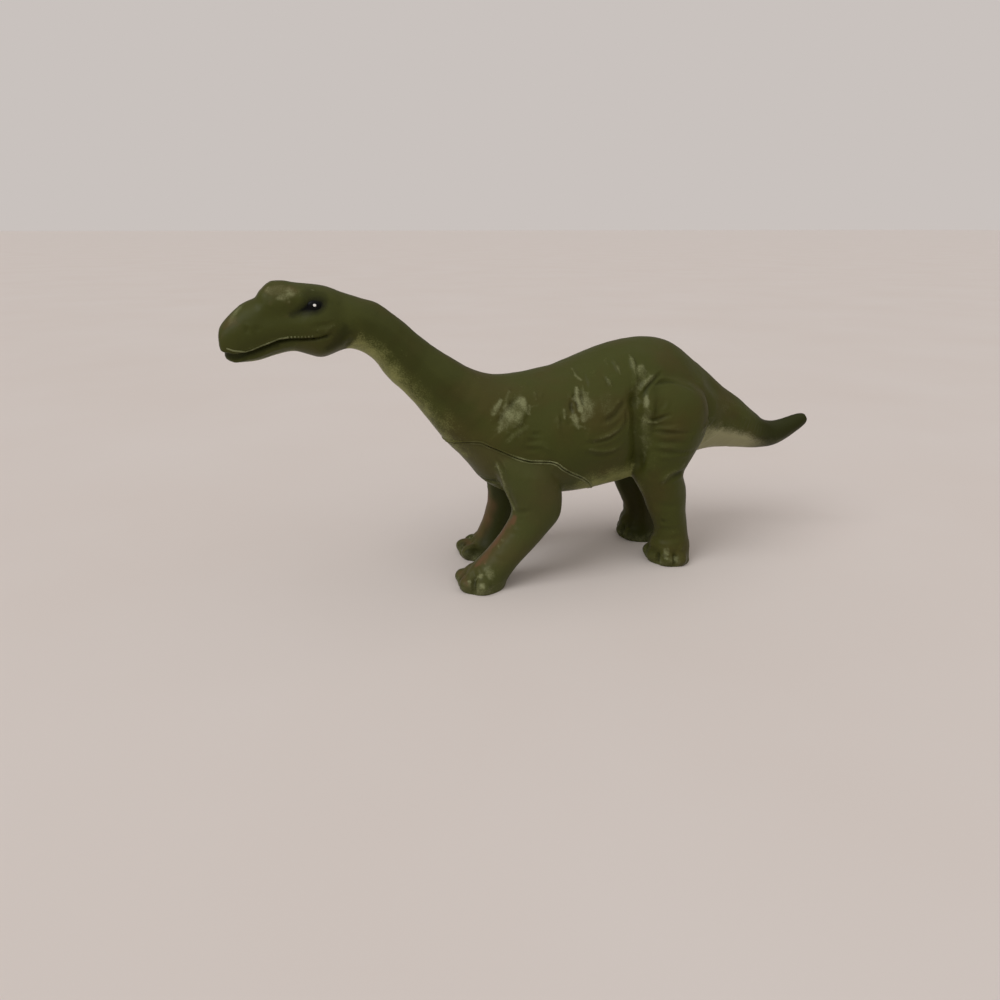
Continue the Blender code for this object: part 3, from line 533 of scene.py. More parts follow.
def mesh_of(name: str, shape: bmesh.types.BMesh) -> bpy.types.Mesh:
    """A plain mesh of a finished bmesh. The bmesh is freed."""
    mesh = bpy.data.meshes.new(name)
    shape.to_mesh(mesh)
    shape.free()
    return mesh


def new_material(name: str) -> tuple[bpy.types.Material, bpy.types.NodeTree, bpy.types.Node, bpy.types.NodeSocket]:
    """A new material with its tree, its shader, and the place on the object that its patterns read."""
    made = bpy.data.materials.new(name)
    made.use_nodes = True
    tree = made.node_tree
    return made, tree, tree.nodes["Principled BSDF"], add_node(tree, "ShaderNodeTexCoord").outputs["Object"]


def set_attribute(mesh: bpy.types.Mesh, name: str, values: Array) -> None:
    """Stores a number for each vertex, which the materials read by name."""
    layer = mesh.attributes.new(name, "FLOAT", "POINT")
    layer.data.foreach_set("value", values.astype(np.float32))


@dataclass(frozen=True)
class Lens:
    """The camera, where the photograph's stood.

    Attributes:
        picture: The picture's width and height in pixels.
        focal: Its focal length in pixels.
        sensor: The width of the camera's sensor in millimetres.
        pitch: How far it looks down, in degrees.
        heading: How far it is turned from the figure's side, in degrees.
        place: Where it stands, in metres.
        near: The distance at which it starts to see.
    """

    picture: float = 1000.0
    focal: float = 751.0
    sensor: float = 36.0
    pitch: float = 20.0
    heading: float = 17.2
    place: tuple[float, float, float] = (-73.45 * MM, -188.7 * MM, 92.0 * MM)
    near: float = 5 * MM

    def turned(self) -> Euler:
        """How the camera is turned from looking straight down."""
        return Euler((math.radians(90 - self.pitch), 0.0, -math.radians(self.heading)))

    def ray(self, pixel: Pixel) -> Vector:
        """The direction in which the camera sees a pixel."""
        middle = self.picture / 2
        ahead = Vector(((pixel[0] - middle) / self.focal, (middle - pixel[1]) / self.focal, -1.0))
        return (self.turned().to_matrix() @ ahead).normalized()

    def build(self) -> None:
        """Adds the camera to the scene."""
        data = bpy.data.cameras.new("camera")
        data.sensor_width = self.sensor
        data.lens = self.focal * self.sensor / self.picture
        data.clip_start = self.near
        camera = place_object("camera", data)
        camera.location = self.place
        camera.rotation_euler = self.turned()
        bpy.context.scene.camera = camera


@dataclass(frozen=True)
class Coat:
    """A coat of paint, stain or wear, or of painted shade, highlight or reflection, over a colour.

    Attributes:
        edge: The values of its source at which it starts and is full.
        cover: How much of it shows at those values.
        broken: What breaks it up, as rows of a pattern, its span, what that becomes, and how it joins the source.
    """

    edge: Span
    cover: Span = WHOLE
    broken: tuple[tuple[str, Span, Span, str], ...] = ()

    def lay(self, tree: bpy.types.NodeTree, source: Any, under: Any, over: Any, patterns: dict[str, Any]) -> list[Any]:
        """Adds the coat to a material.

        Args:
            tree: The material's nodes.
            source: Where the coat lies, from 0 to 1.
            under: The colour below it.
            over: The coat's own colour.
            patterns: The patterns by name.

        Returns:
            How much of the coat shows, and the colour that is seen.
        """
        for name, span, to, operation in self.broken:
            sockets = {"Value": patterns[name], 1: span[0], 2: span[1], 3: to[0], 4: to[1]}
            part = add_node(tree, "ShaderNodeMapRange", SMOOTH, sockets).outputs["Result"]
            source = add_node(tree, "ShaderNodeMath", {"operation": operation}, {0: source, 1: part}).outputs[0]
        sockets = {"Value": source, 1: self.edge[0], 2: self.edge[1], 3: self.cover[0], 4: self.cover[1]}
        share = add_node(tree, "ShaderNodeMapRange", SMOOTH, sockets).outputs["Result"]
        sockets = {"Factor": share, 6: under, 7: over}
        return [share, add_node(tree, "ShaderNodeMix", {"data_type": "RGBA"}, sockets).outputs[2]]


@dataclass(frozen=True)
class Vinyl:
    """Soft PVC with matt paint: a dark green dip, a paler green sprayed on below, and black eye paint.

    The eye sees an even satin skin. Its highlights are broad, the spray ends in fine specks, and the
    bottoms of the folds are a little darker with painted shade. Raised places are lighter with painted highlights,
    the crest and snout warmer with a painted reflection, and downward faces paler with painted bounce light.

    Attributes:
        brown: The warmer green that shows through where the coat is thin.
        pale: The sprayed colour of the underside of the tail.
        pale_front: The greener one of the throat and belly.
        shade_colour: Painted shade: the dark colour laid in the folds, in the hollows and on darker sides.
        earth_and_reflection: The reddish brown that dirt leaves at the front of the shanks, also laid on the crest and
            snout as a painted warm reflection.
        wear_and_highlight: The colour of edges where wear thins the paint, and of painted highlights on raised places.
        shine: How far the mottles move the roughness either way.
        black_shine: How far the eye paint moves it.
        gloss: The shader's specular level, which is low because the paint is matt.
        patterns: The width of each pattern's bumps, and its detail. The specks of spray and the grain of the
            mould's etched surface are 0.1 mm on the real one, and drawn larger to show.
        grain_depth: How deep the grain is.
        lump_share: How high the lumps are to that.
        tailward: The coat of the tail's pale colour over that of the throat, along the figure.
        sprayed, dusty, stained, rubbed, blackened: The coats over the green, in their order. dusty lays painted shade,
        stained also a painted warm reflection, and rubbed painted highlights with the wear.
    """

    name: str
    green: str = "#40431C"
    brown: str = "#44401D"
    pale: str = "#918F6C"
    pale_front: str = "#868853"
    shade_colour: str = "#181A07"
    earth_and_reflection: str = "#634A32"
    wear_and_highlight: str = "#787A56"
    eye_black: str = "#060605"
    roughness: float = 0.42
    shine: Span = (-0.05, 0.07)
    black_shine: float = -0.1
    ior: float = 1.53
    gloss: float = 0.08
    patterns: tuple[tuple[str, float, float], ...] = (
        ("blotches", 14.0 * MM, 3.0),
        ("specks", 0.35 * MM, 2.0),
        ("mottle", 3.0 * MM, 4.0),
        ("grain", 0.30 * MM, 2.0),
        ("lumps", 1.1 * MM, 2.0),
    )
    grain_depth: float = 0.018 * MM
    lump_share: float = 1.6
    blotched: Coat = Coat((0.4, 0.7))
    tailward: Coat = Coat((25 * MM, 45 * MM))
    sprayed: Coat = Coat(
        (0.15, 1.0), broken=(("specks", WHOLE, (-0.3, 0.3), "ADD"), ("mottle", WHOLE, (-0.25, 0.25), "ADD"))
    )
    shade_coat: Coat = Coat((0.1, 1.0), (0.0, 0.65))
    stained: Coat = Coat((0.0, 0.9), broken=(("mottle", (0.3, 0.7), (0.65, 1.0), "MULTIPLY"),))
    wear_and_sheen: Coat = Coat(
        (0.1, 0.92), (0.0, 0.95),
        (("mottle", (0.3, 0.75), (0.5, 1.1), "MULTIPLY"), ("specks", (0.2, 0.8), (0.65, 1.25), "MULTIPLY")),
    )
    blackened: Coat = Coat((0.12, 0.9), broken=(("specks", WHOLE, (-0.08, 0.08), "ADD"),))

    def build(self) -> bpy.types.Material:
        """Makes the material, which reads the attributes pale, sunk, stained, worn and eye_paint."""
        made, tree, shader, where = new_material(self.name)
        drawn: dict[str, Any] = {}
        for name, size, detail in self.patterns:
            sockets = {"Vector": where, "Scale": 1 / size, "Detail": detail}
            drawn[name] = add_node(tree, "ShaderNodeTexNoise", {}, sockets).outputs["Fac"]
        along = add_node(tree, "ShaderNodeSeparateXYZ", {}, {"Vector": where}).outputs["X"]
        _, spray = self.tailward.lay(tree, along, linear(self.pale_front), linear(self.pale), drawn)
        _, colour = self.blotched.lay(tree, drawn["blotches"], linear(self.green), linear(self.brown), drawn)
        # Coats: spray, painted shade (sunk), dirt and painted warm reflection (stained), wear and painted highlights
        # (worn), eye paint.
        for attribute, coat, over in (
            ("pale", self.sprayed, spray),
            ("sunk", self.shade_coat, linear(self.shade_colour)),
            ("stained", self.stained, linear(self.earth_and_reflection)),
            ("wear_and_highlight", self.wear_and_sheen, linear(self.wear_and_highlight)),
            ("eye_paint", self.blackened, linear(self.eye_black)),
        ):
            stored = add_node(tree, "ShaderNodeAttribute", {"attribute_name": attribute}).outputs["Fac"]
            black, colour = coat.lay(tree, stored, colour, over, drawn)
        tree.links.new(colour, shader.inputs["Base Color"])
        glossier, rougher = (self.roughness + change for change in self.shine)
        sockets = {"Value": drawn["mottle"], 1: 0.2, 2: 0.8, 3: glossier, 4: rougher}
        satin = add_node(tree, "ShaderNodeMapRange", SMOOTH, sockets).outputs["Result"]
        sockets = {"Value": black, 1: 0.0, 2: 1.0, 3: 0.0, 4: self.black_shine}
        change = add_node(tree, "ShaderNodeMapRange", SMOOTH, sockets).outputs["Result"]
        seen = add_node(tree, "ShaderNodeMath", {"operation": "ADD"}, {0: satin, 1: change}).outputs[0]
        tree.links.new(seen, shader.inputs["Roughness"])
        shader.inputs["IOR"].default_value = self.ior
        shader.inputs["Specular IOR Level"].default_value = self.gloss
        sockets = {"Value": drawn["lumps"], 1: 0.0, 2: 1.0, 3: 0.0, 4: self.lump_share}
        lumps = add_node(tree, "ShaderNodeMapRange", SMOOTH, sockets).outputs["Result"]
        height = add_node(tree, "ShaderNodeMath", {"operation": "ADD"}, {0: drawn["grain"], 1: lumps}).outputs[0]
        relief = add_node(tree, "ShaderNodeBump", {}, {"Height": height, "Distance": self.grain_depth, "Strength": 1.0})
        tree.links.new(relief.outputs["Normal"], shader.inputs["Normal"])
        return made


@dataclass(frozen=True)
class Enamel:
    """Gloss enamel dabbed on with a fine brush. The eye sees a hard small highlight and a slight unevenness.

    Attributes:
        thin: Its colour where the coat is thin.
        gloss: The shader's specular level.
        stroke: The width of a brush mark.
        unevenness: How high a brush mark stands.
    """

    name: str
    colour: str
    thin: str
    roughness: float = 0.2
    ior: float = 1.5
    gloss: float = 0.5
    stroke: float = 0.5 * MM
    unevenness: float = 0.01 * MM

    def build(self) -> bpy.types.Material:
        """Makes the material."""
        made, tree, shader, where = new_material(self.name)
        sockets = {"Vector": where, "Scale": 1 / self.stroke, "Detail": 2.0}
        marks = add_node(tree, "ShaderNodeTexNoise", {}, sockets).outputs["Fac"]
        mixed = {"Factor": marks, 6: linear(self.colour), 7: linear(self.thin)}
        colour = add_node(tree, "ShaderNodeMix", {"data_type": "RGBA"}, mixed).outputs[2]
        tree.links.new(colour, shader.inputs["Base Color"])
        bump = add_node(tree, "ShaderNodeBump", {}, {"Height": marks, "Distance": self.unevenness})
        tree.links.new(bump.outputs["Normal"], shader.inputs["Normal"])
        shader.inputs["Roughness"].default_value = self.roughness
        shader.inputs["IOR"].default_value = self.ior
        shader.inputs["Specular IOR Level"].default_value = self.gloss
        return made


@dataclass(frozen=True)
class ShelfPaint:
    """Pale emulsion paint on a shelf board, which is matt and almost even.

    Attributes:
        warm: Its colour in faint broad patches.
        patches: How many of those patches there are to a metre.
    """

    colour: str = "#D9D2CD"
    warm: str = "#D3C9C2"
    roughness: float = 0.7
    patches: float = 9.0

    def build(self) -> bpy.types.Material:
        """Makes the material."""
        made, tree, shader, where = new_material("shelf_emulsion_paint")
        patches = add_node(tree, "ShaderNodeTexNoise", {}, {"Vector": where, "Scale": self.patches, "Detail": 3.0})
        mixed = {"Factor": patches.outputs["Fac"], 6: linear(self.colour), 7: linear(self.warm)}
        colour = add_node(tree, "ShaderNodeMix", {"data_type": "RGBA"}, mixed).outputs[2]
        tree.links.new(colour, shader.inputs["Base Color"])
        shader.inputs["Roughness"].default_value = self.roughness
        return made


@dataclass(frozen=True)
class Trunk:
    """The trunk, from the chest to the tail. It also says where the other regions start.

    Attributes:
        shares: Rows of place along, rise, tilt in degrees, depth and width.
    """

    length: float = 63.3 * MM
    depth: float = 40.0 * MM
    width: float = 33.0 * MM
    hip_height: float = 44.0 * MM
    head_length: float = 29.0 * MM
    neck_reach: float = 32.1 * MM
    neck_rise: float = 25.5 * MM
    tail_length: float = 43.6 * MM
    shares: Rows = (
        (0.00, 0.02, 11.0, 0.60, 0.71),
        (0.09, -0.075, 9.0, 0.73, 0.82),
        (0.21, -0.128, 5.0, 0.85, 0.91),
        (0.35, -0.117, 2.5, 0.885, 0.97),
        (0.49, -0.080, 0.0, 0.943, 1.00),
        (0.62, -0.032, -1.5, 0.986, 0.97),
        (0.757, 0.00, 0.0, 0.975, 0.91),
        (0.883, 0.012, 0.0, 0.90, 0.79),
        (1.00, -0.015, 1.0, 0.745, 0.65),
    )

    def front(self) -> tuple[float, float]:
        """The centre of the front section. The figure's middle is at x = 0."""
        nose = -self.neck_reach - self.head_length
        tail_tip = self.length + self.tail_length
        return -(nose + tail_tip) / 2, self.hip_height + self.shares[0][1] * self.depth

    def along(self, share: float) -> float:
        """The x of a place along the trunk."""
        return self.front()[0] + share * self.length

    def head_place(self) -> tuple[float, float]:
        """The centre of the head's rear section, where the neck ends."""
        x, z = self.front()
        return x - self.neck_reach, z + self.neck_rise

    def sections(self) -> list[Section]:
        """The sections of the trunk."""
        return [
            Section(self.along(a), self.hip_height + r * self.depth, 0.0, d * self.depth, w * self.width, t)
            for a, r, t, d, w in self.shares
        ]


@dataclass(frozen=True)
class Head:
    """The head, whose rows are place along, rise, tilt in degrees, depth and width.

    Attributes:
        mouth: The mouth's line from its corner, as shares of the head's length and depth.
        mouth_widths: Places along the mouth, and how wide it is there as a share of its gap.
        mouth_depths: The same for how deep it is.
    """

    trunk: Trunk
    depth: float = 17.0 * MM
    width: float = 15.0 * MM
    mouth_gap: float = 1.0 * MM
    mouth_depth: float = 1.35 * MM
    shares: Rows = (
        (0.00, 0.00, 8.0, 0.81, 0.92),
        (0.16, 0.01, 6.0, 0.99, 1.00),
        (0.28, 0.05, 6.0, 0.97, 0.98),
        (0.40, 0.09, 4.0, 0.93, 0.91),
        (0.53, 0.09, 6.0, 1.01, 0.83),
        (0.64, 0.010, 5.0, 0.955, 0.78),
        (0.72, -0.055, 9.0, 0.89, 0.75),
        (0.82, -0.10, 7.0, 0.76, 0.69),
        (0.90, -0.14, 3.0, 0.55, 0.58),
        (0.965, -0.172, -4.0, 0.31, 0.44),
        (0.995, -0.18, -6.0, 0.15, 0.24),
    )
    mouth: tuple[Span, ...] = (
        (0.15, -0.14), (0.246, -0.17), (0.341, -0.185), (0.451, -0.19), (0.547, -0.22), (0.662, -0.295),
        (0.749, -0.35), (0.836, -0.372), (0.942, -0.325), (1.02, -0.29),
    )
    mouth_widths: Rows = ((0.0, 0.25, 0.5, 0.75, 1.0), (0.6, 0.7, 1.0, 1.3, 1.1))
    mouth_depths: Rows = ((0.0, 0.12, 0.4), (0.3, 0.65, 1.0))

    def sections(self) -> list[Section]:
        """The sections of the head, from the nose to its rear."""
        x, z = self.trunk.head_place()
        length = self.trunk.head_length
        return [
            Section(x - a * length, z + r * self.depth, 0.0, d * self.depth, w * self.width, t)
            for a, r, t, d, w in reversed(self.shares)
        ]

    def mouth_line(self) -> Array:
        """The mouth's line in the middle plane, from its corner to the nose."""
        x, z = self.trunk.head_place()
        return spline([(x - a * self.trunk.head_length, z + r * self.depth) for a, r in self.mouth], 12)


@dataclass(frozen=True)
class Neck:
    """The neck, whose rows are place along, rise, tilt in degrees, depth and width."""

    trunk: Trunk
    depth: float = 13.6 * MM
    width: float = 12.4 * MM
    shares: Rows = (
        (0.165, 0.176, 21.0, 1.43, 1.53),
        (0.315, 0.37, 31.0, 1.15, 1.26),
        (0.44, 0.52, 35.0, 1.01, 1.08),
        (0.56, 0.66, 34.0, 0.98, 1.00),
        (0.67, 0.80, 30.0, 0.95, 0.98),
        (0.785, 0.92, 21.0, 0.94, 1.00),
        (0.90, 0.98, 15.0, 0.92, 1.03),
    )

    def sections(self) -> list[Section]:
        """The sections of the neck, from the head to the trunk."""
        x, z = self.trunk.front()
        reach, rise = self.trunk.neck_reach, self.trunk.neck_rise
        return [
            Section(x - a * reach, z + r * rise, 0.0, d * self.depth, w * self.width, t)
            for a, r, t, d, w in reversed(self.shares)
        ]


@dataclass(frozen=True)
class Tail:
    """The tail, whose rows are place along, drop, tilt in degrees, depth, width and sway."""

    trunk: Trunk
    drop: float = 12.0 * MM
    depth: float = 24.3 * MM
    width: float = 18.0 * MM
    sway: float = 1.6 * MM
    shares: Rows = (
        (0.119, 0.133, 3.0, 1.00, 1.00, 0.00),
        (0.25, 0.317, 5.0, 0.767, 0.84, 0.00),
        (0.38, 0.483, 7.0, 0.634, 0.71, 0.02),
        (0.525, 0.73, 8.0, 0.468, 0.56, 0.06),
        (0.62, 0.85, 0.0, 0.37, 0.47, 0.13),
        (0.70, 0.89, -7.0, 0.323, 0.40, 0.24),
        (0.776, 0.83, -12.0, 0.275, 0.34, 0.40),
        (0.85, 0.715, -16.0, 0.238, 0.29, 0.60),
        (0.91, 0.60, -19.0, 0.20, 0.24, 0.80),
        (0.96, 0.51, -23.0, 0.14, 0.17, 1.00),
    )

    def sections(self) -> list[Section]:
        """The sections of the tail, from the trunk to the tip."""
        root = self.trunk.sections()[-1]
        return [
            Section(
                x=root.x + a * self.trunk.tail_length,
                z=root.z - r * self.drop,
                side=-s * self.sway,
                depth=d * self.depth,
                width=w * self.width,
                tilt=t,
            )
            for a, r, t, d, w, s in self.shares
        ]


@dataclass(frozen=True)
class HindLeg:
    """A hind leg, whose rows are height, place along, depth, place outwards and width."""

    trunk: Trunk
    depth: float = 21.6 * MM
    width: float = 14.6 * MM
    spread: float = 10.2 * MM
    place_share: float = 0.843
    shares: Rows = (
        (1.234, -0.127, 0.30, 0.88, 0.41),
        (1.17, -0.05, 0.70, 0.96, 0.75),
        (1.08, 0.016, 0.893, 1.03, 0.93),
        (0.96, 0.014, 0.947, 1.08, 1.00),
        (0.836, -0.027, 0.917, 1.08, 0.986),
        (0.714, -0.087, 0.777, 1.06, 0.90),
        (0.62, -0.121, 0.688, 1.04, 0.81),
        (0.53, -0.044, 0.644, 1.03, 0.74),
        (0.45, 0.016, 0.58, 1.02, 0.685),
        (0.364, 0.058, 0.514, 1.01, 0.66),
        (0.282, 0.116, 0.463, 1.00, 0.645),
        (0.20, 0.155, 0.44, 0.99, 0.67),
        (0.12, 0.15, 0.55, 0.97, 0.77),
        (0.05, 0.16, 0.55, 0.94, 0.82),
        (-0.03, 0.16, 0.55, 0.92, 0.83),
    )

    def sections(self, side: Side) -> list[Section]:
        """The sections of one leg, from the top of the thigh to below the ground."""
        hip_x = self.trunk.along(self.place_share)
        return [
            Section(
                x=hip_x + a * self.depth,
                z=h * self.trunk.hip_height,
                side=side.value * s * self.spread,
                depth=d * self.depth,
                width=w * self.width,
                tilt=90.0,
            )
            for h, a, d, s, w in self.shares
        ]

    def foot_place(self, side: Side) -> tuple[float, float]:
        """The x and y of the middle of the foot."""
        last = self.sections(side)[-1]
        return last.x, last.side


@dataclass(frozen=True)
class ForeLeg:
    """A foreleg, whose rows are height, place along, tilt, depth, place outwards and width.

    Attributes:
        reach: How far the leg reaches forwards below the elbow.
        lead: How much further forwards the foot is.
    """

    trunk: Trunk
    reach: float
    lead: float
    depth: float = 16.4 * MM
    width: float = 12.6 * MM
    spread: float = 11.2 * MM
    place_share: float = 0.20
    elbow_share: float = 0.10
    upper_shares: Rows = (
        (0.83, -0.15, 0.0, 0.91, 0.80, 0.79),
        (0.727, -0.05, 2.0, 1.00, 0.89, 0.98),
        (0.625, 0.04, 4.0, 0.99, 0.96, 1.00),
        (0.532, 0.10, 6.0, 0.90, 1.00, 0.95),
    )
    lower_shares: Rows = (
        (0.443, 0.00, 0.28, 0.81, 1.01, 0.89),
        (0.364, 0.15, 0.46, 0.69, 1.01, 0.83),
        (0.28, 0.355, 0.85, 0.595, 1.01, 0.78),
        (0.186, 0.61, 0.80, 0.57, 1.01, 0.77),
        (0.106, 0.82, 0.72, 0.62, 0.99, 0.83),
        (0.053, 0.935, 0.55, 0.72, 0.95, 0.93),
        (-0.006, 0.98, 0.38, 0.73, 0.93, 0.95),
        (-0.07, 1.00, 0.13, 0.70, 0.92, 0.92),
    )

    def elbow_x(self) -> float:
        """The x of the elbow."""
        return self.trunk.along(self.place_share) + self.elbow_share * self.depth

    def sections(self, side: Side) -> list[Section]:
        """The sections of the leg, from inside the shoulder to below the ground."""
        shoulder_x = self.trunk.along(self.place_share)
        elbow_height = self.lower_shares[0][0] * self.trunk.hip_height
        lean = math.degrees(math.atan2(self.reach, elbow_height))
        upper = [(h, shoulder_x + a * self.depth, t, d, s, w) for h, a, t, d, s, w in self.upper_shares]
        lower = [(h, self.elbow_x() - a * self.reach, t * lean, d, s, w) for h, a, t, d, s, w in self.lower_shares]
        return [
            Section(
                x=x,
                z=h * self.trunk.hip_height,
                side=side.value * s * self.spread,
                depth=d * self.depth,
                width=w * self.width,
                tilt=90.0 + t,
            )
            for h, x, t, d, s, w in upper + lower
        ]

    def foot_place(self, side: Side) -> tuple[float, float]:
        """The x and y of the middle of the foot."""
        out = self.lower_shares[-1][4] * self.spread
        return self.elbow_x() - self.reach - self.lead, side.value * out

    def axis_x(self, heights: Array) -> Array:
        """The x of the leg's axis at each height."""
        rows = spline(self.sections(Side.LEFT), 4)
        return np.interp(-heights, -rows[:, 1], rows[:, 0])


@dataclass(frozen=True)
class Foot:
    """A foot: a pad with toes that spread from the inner front to the outer side."""

    length: float = 12.4 * MM
    width: float = 13.4 * MM
    instep: float = 4.2 * MM
    toe_length: float = 5.6 * MM
    toe_width: float = 5.0 * MM
    toe_height: float = 4.4 * MM
    toe_place: float = 0.38
    toe_rise: float = 0.44
    hind_toes: tuple[float, ...] = (-33.0, 8.0, 56.0, 96.0)
    fore_toes: tuple[float, ...] = (-34.0, 28.0, 80.0)

    def toe_point(self, middle: tuple[float, float], side: Side, angle: float, share: float, height: float) -> Vector:
        """The place over a foot at a share of its size, and at degrees from straight ahead to the outer side."""
        turn = math.radians(angle)
        ahead, aside = -math.cos(turn), side.value * math.sin(turn)
        return Vector((middle[0] + ahead * share * self.length, middle[1] + aside * share * self.width, height))


def add_loft(shells: bmesh.types.BMesh, sections: list[Section], sides: int, steps: int) -> None:
    """Adds a closed skin through the sections.

    Args:
        shells: The bmesh that gets the skin.
        sections: The ovals that it passes, in order.
        sides: How many corners each oval gets.
        steps: How many ovals are made for each span.
    """
    angles = 2 * math.pi * np.arange(sides) / sides
    rings = []
    for x, z, side, depth, width, tilt in spline(sections, steps):
        lean = math.radians(tilt)
        tall = np.cos(angles) * depth / 2
        aside = side + np.sin(angles) * width / 2
        ring = np.column_stack([x + math.sin(lean) * tall, aside, z + math.cos(lean) * tall])
        rings.append([shells.verts.new(place) for place in ring])
    for near, far in zip(rings, rings[1:]):
        for i in range(sides):
            j = (i + 1) % sides
            shells.faces.new((near[i], near[j], far[j], far[i]))
    for ring in (rings[0], rings[-1]):
        tip = shells.verts.new(sum((v.co for v in ring), Vector()) / sides)
        for i in range(sides):
            shells.faces.new((ring[i], ring[(i + 1) % sides], tip))


def add_ball(shells: bmesh.types.BMesh, place: Sequence[float], size: Sequence[float], heading: float = 0.0) -> None:
    """Adds an ellipsoid whose length points along `heading`, an angle about Z."""
    shape = Matrix.Translation(place) @ Matrix.Rotation(heading, 4, "Z") @ Matrix.Diagonal((*size, 1.0))
    ball = bmesh.new()
    bmesh.ops.create_uvsphere(ball, u_segments=40, v_segments=20, radius=0.5, matrix=shape)
    mesh = mesh_of("ball", ball)
    shells.from_mesh(mesh)
    bpy.data.meshes.remove(mesh)


@dataclass
class Skin:
    """The figure's whole outer surface, before it is split into its two castings.

    Attributes:
        cell: The size of the cells in which the regions melt together.
        melting: How often the surface is smoothed there, which leaves soft creases between the regions.
        triangles: How many triangles the whole skin may have.
        unevenness: How far the hand-made surface waves, as rows of width and height.
        far_side: The y behind which nothing is drawn, because another leg stands there.
        soft_margin: How far inside the CAD's box the skin starts to be squeezed, in x, y and z.
        reach: How far a stroke is felt, in half widths.
        run_out: The share of a thin stroke's length over which each of its ends fades.
        end_strength: How strong a thin stroke still is at its ends.
        same_way: How far the skin must face as it does under the stroke to be moved, as a cosine.
        head_calm: How much evener the head is, and the places behind its rear between which that starts.
        leg_calm: The same for the legs, with heights.
    """

    view: Lens
    trunk: Trunk = field(default_factory=Trunk)
    cell: float = 0.6 * MM
    melting: int = 7
    triangles: int = 236_000
    unevenness: tuple[Span, ...] = ((9.0 * MM, 0.22 * MM), (3.6 * MM, 0.10 * MM), (1.5 * MM, 0.03 * MM))
    far_side: float = 0.5 * MM
    soft_margin: tuple[float, float, float] = (1.6 * MM, 0.3 * MM, 0.3 * MM)
    sides: int = 72
    steps: int = 8
    reach: float = 2.6
    run_out: float = 0.3
    end_strength: float = 0.35
    same_way: Span = (0.0, 0.5)
    head_calm: tuple[float, Span] = (0.55, (8 * MM, 0.0))
    leg_calm: tuple[float, Span] = (0.7, (28 * MM, 20 * MM))
    foot: Foot = field(default_factory=Foot)

    def __post_init__(self) -> None:
        """Makes the head and the legs that belong to the trunk."""
        self.head = Head(self.trunk)
        self.fore_legs = {
            Side.LEFT: ForeLeg(self.trunk, reach=14.9 * MM, lead=0.2 * MM),
            Side.RIGHT: ForeLeg(self.trunk, reach=6.4 * MM, lead=3.1 * MM),
        }
        self.hind_leg = HindLeg(self.trunk)

    def feet(self) -> list[tuple[Side, tuple[float, float], tuple[float, ...]]]:
        """Each foot's side, the x and y of its middle, and the directions of its toes."""
        fore = [(side, leg.foot_place(side), self.foot.fore_toes) for side, leg in self.fore_legs.items()]
        return fore + [(side, self.hind_leg.foot_place(side), self.foot.hind_toes) for side in Side]

    def blank(self) -> bpy.types.Mesh:
        """The regions as closed shells that run into each other."""
        shells = bmesh.new()
        spine = self.head.sections() + Neck(self.trunk).sections() + self.trunk.sections() + Tail(self.trunk).sections()
        add_loft(shells, spine, self.sides, self.steps)
        for side, leg in self.fore_legs.items():
            add_loft(shells, self.hind_leg.sections(side), self.sides, self.steps)
            add_loft(shells, leg.sections(side), self.sides, self.steps)
        foot = self.foot
        for side, middle, toes in self.feet():
            add_ball(shells, (*middle, 0.0), (foot.length, foot.width, 2 * foot.instep))
            for angle in toes:
                place = foot.toe_point(middle, side, angle, foot.toe_place, foot.toe_height * foot.toe_rise)
                turn = math.radians(angle)
                heading = math.atan2(side.value * math.sin(turn), -math.cos(turn))
                add_ball(shells, place, (foot.toe_length, foot.toe_width, foot.toe_height), heading)
        bmesh.ops.recalc_face_normals(shells, faces=shells.faces[:])
        return mesh_of("skin_blank", shells)

    def melted(self) -> bpy.types.Mesh:
        """The regions as one smooth skin, at the fineness of the sculpting."""
        obj = place_object("skin_blank", self.blank())
        remesh = obj.modifiers.new("one_skin", "REMESH")
        remesh.mode = "VOXEL"
        remesh.voxel_size = self.cell
        smooth = obj.modifiers.new("soft_creases", "SMOOTH")
        smooth.iterations = self.melting
        finer = obj.modifiers.new("finer", "SUBSURF")
        finer.levels = finer.render_levels = 1
        return evaluated_mesh(obj)

    def lines(self, base: bpy.types.Object) -> list[tuple[Stroke, Array, Array]]:
        """Every stroke on the skin, on both sides, with its places and the ways that the skin faces there."""
        made = []
        for limb, strokes in STROKE_SETS:
            for name, stroke in strokes.items():
                places = self.seen(base, name, stroke.path)
                if len(places) < 2:
                    continue
                for side in Side:
                    drawn = places if side is Side.LEFT else self.across(places, limb)
                    made.append((stroke, *self.snapped(base, drawn)))
        for side, middle, toes in self.feet():
            for stroke, points in self.toe_lines(side, middle, toes):
                made.append((stroke, *self.snapped(base, points)))
        return made

    def seen(self, base: bpy.types.Object, name: str, path: Sequence[Pixel]) -> Array:
        """The places on the skin that the camera sees at some pixels."""
        found = []
        for pixel in path:
            hit, place, _, _ = base.ray_cast(Vector(self.view.place), self.view.ray(pixel))
            if hit and place.y < self.far_side:
                found.append(tuple(place))
            else:
                LOG.info("%s: pixel %s is beside the figure's near side", name, pixel)
        return np.array(found)

    def across(self, places: Array, limb: Limb) -> Array:
        """The same places on the right side, in the other order, so that what is above the path stays so."""
        moved = places[::-1] * (1.0, -1.0, 1.0)
        if limb is Limb.FORELEG:
            legs = self.fore_legs
            moved[:, 0] += legs[Side.RIGHT].axis_x(moved[:, 2]) - legs[Side.LEFT].axis_x(moved[:, 2])
        return moved

    def snapped(self, base: bpy.types.Object, places: Array) -> tuple[Array, Array]:
        """A smooth line on the skin near some places, and the ways that the skin faces there."""
        found = [base.closest_point_on_mesh(Vector(place))[1:3] for place in spline(places, 8)]
        return np.array([place for place, _ in found]), np.array([facing for _, facing in found])

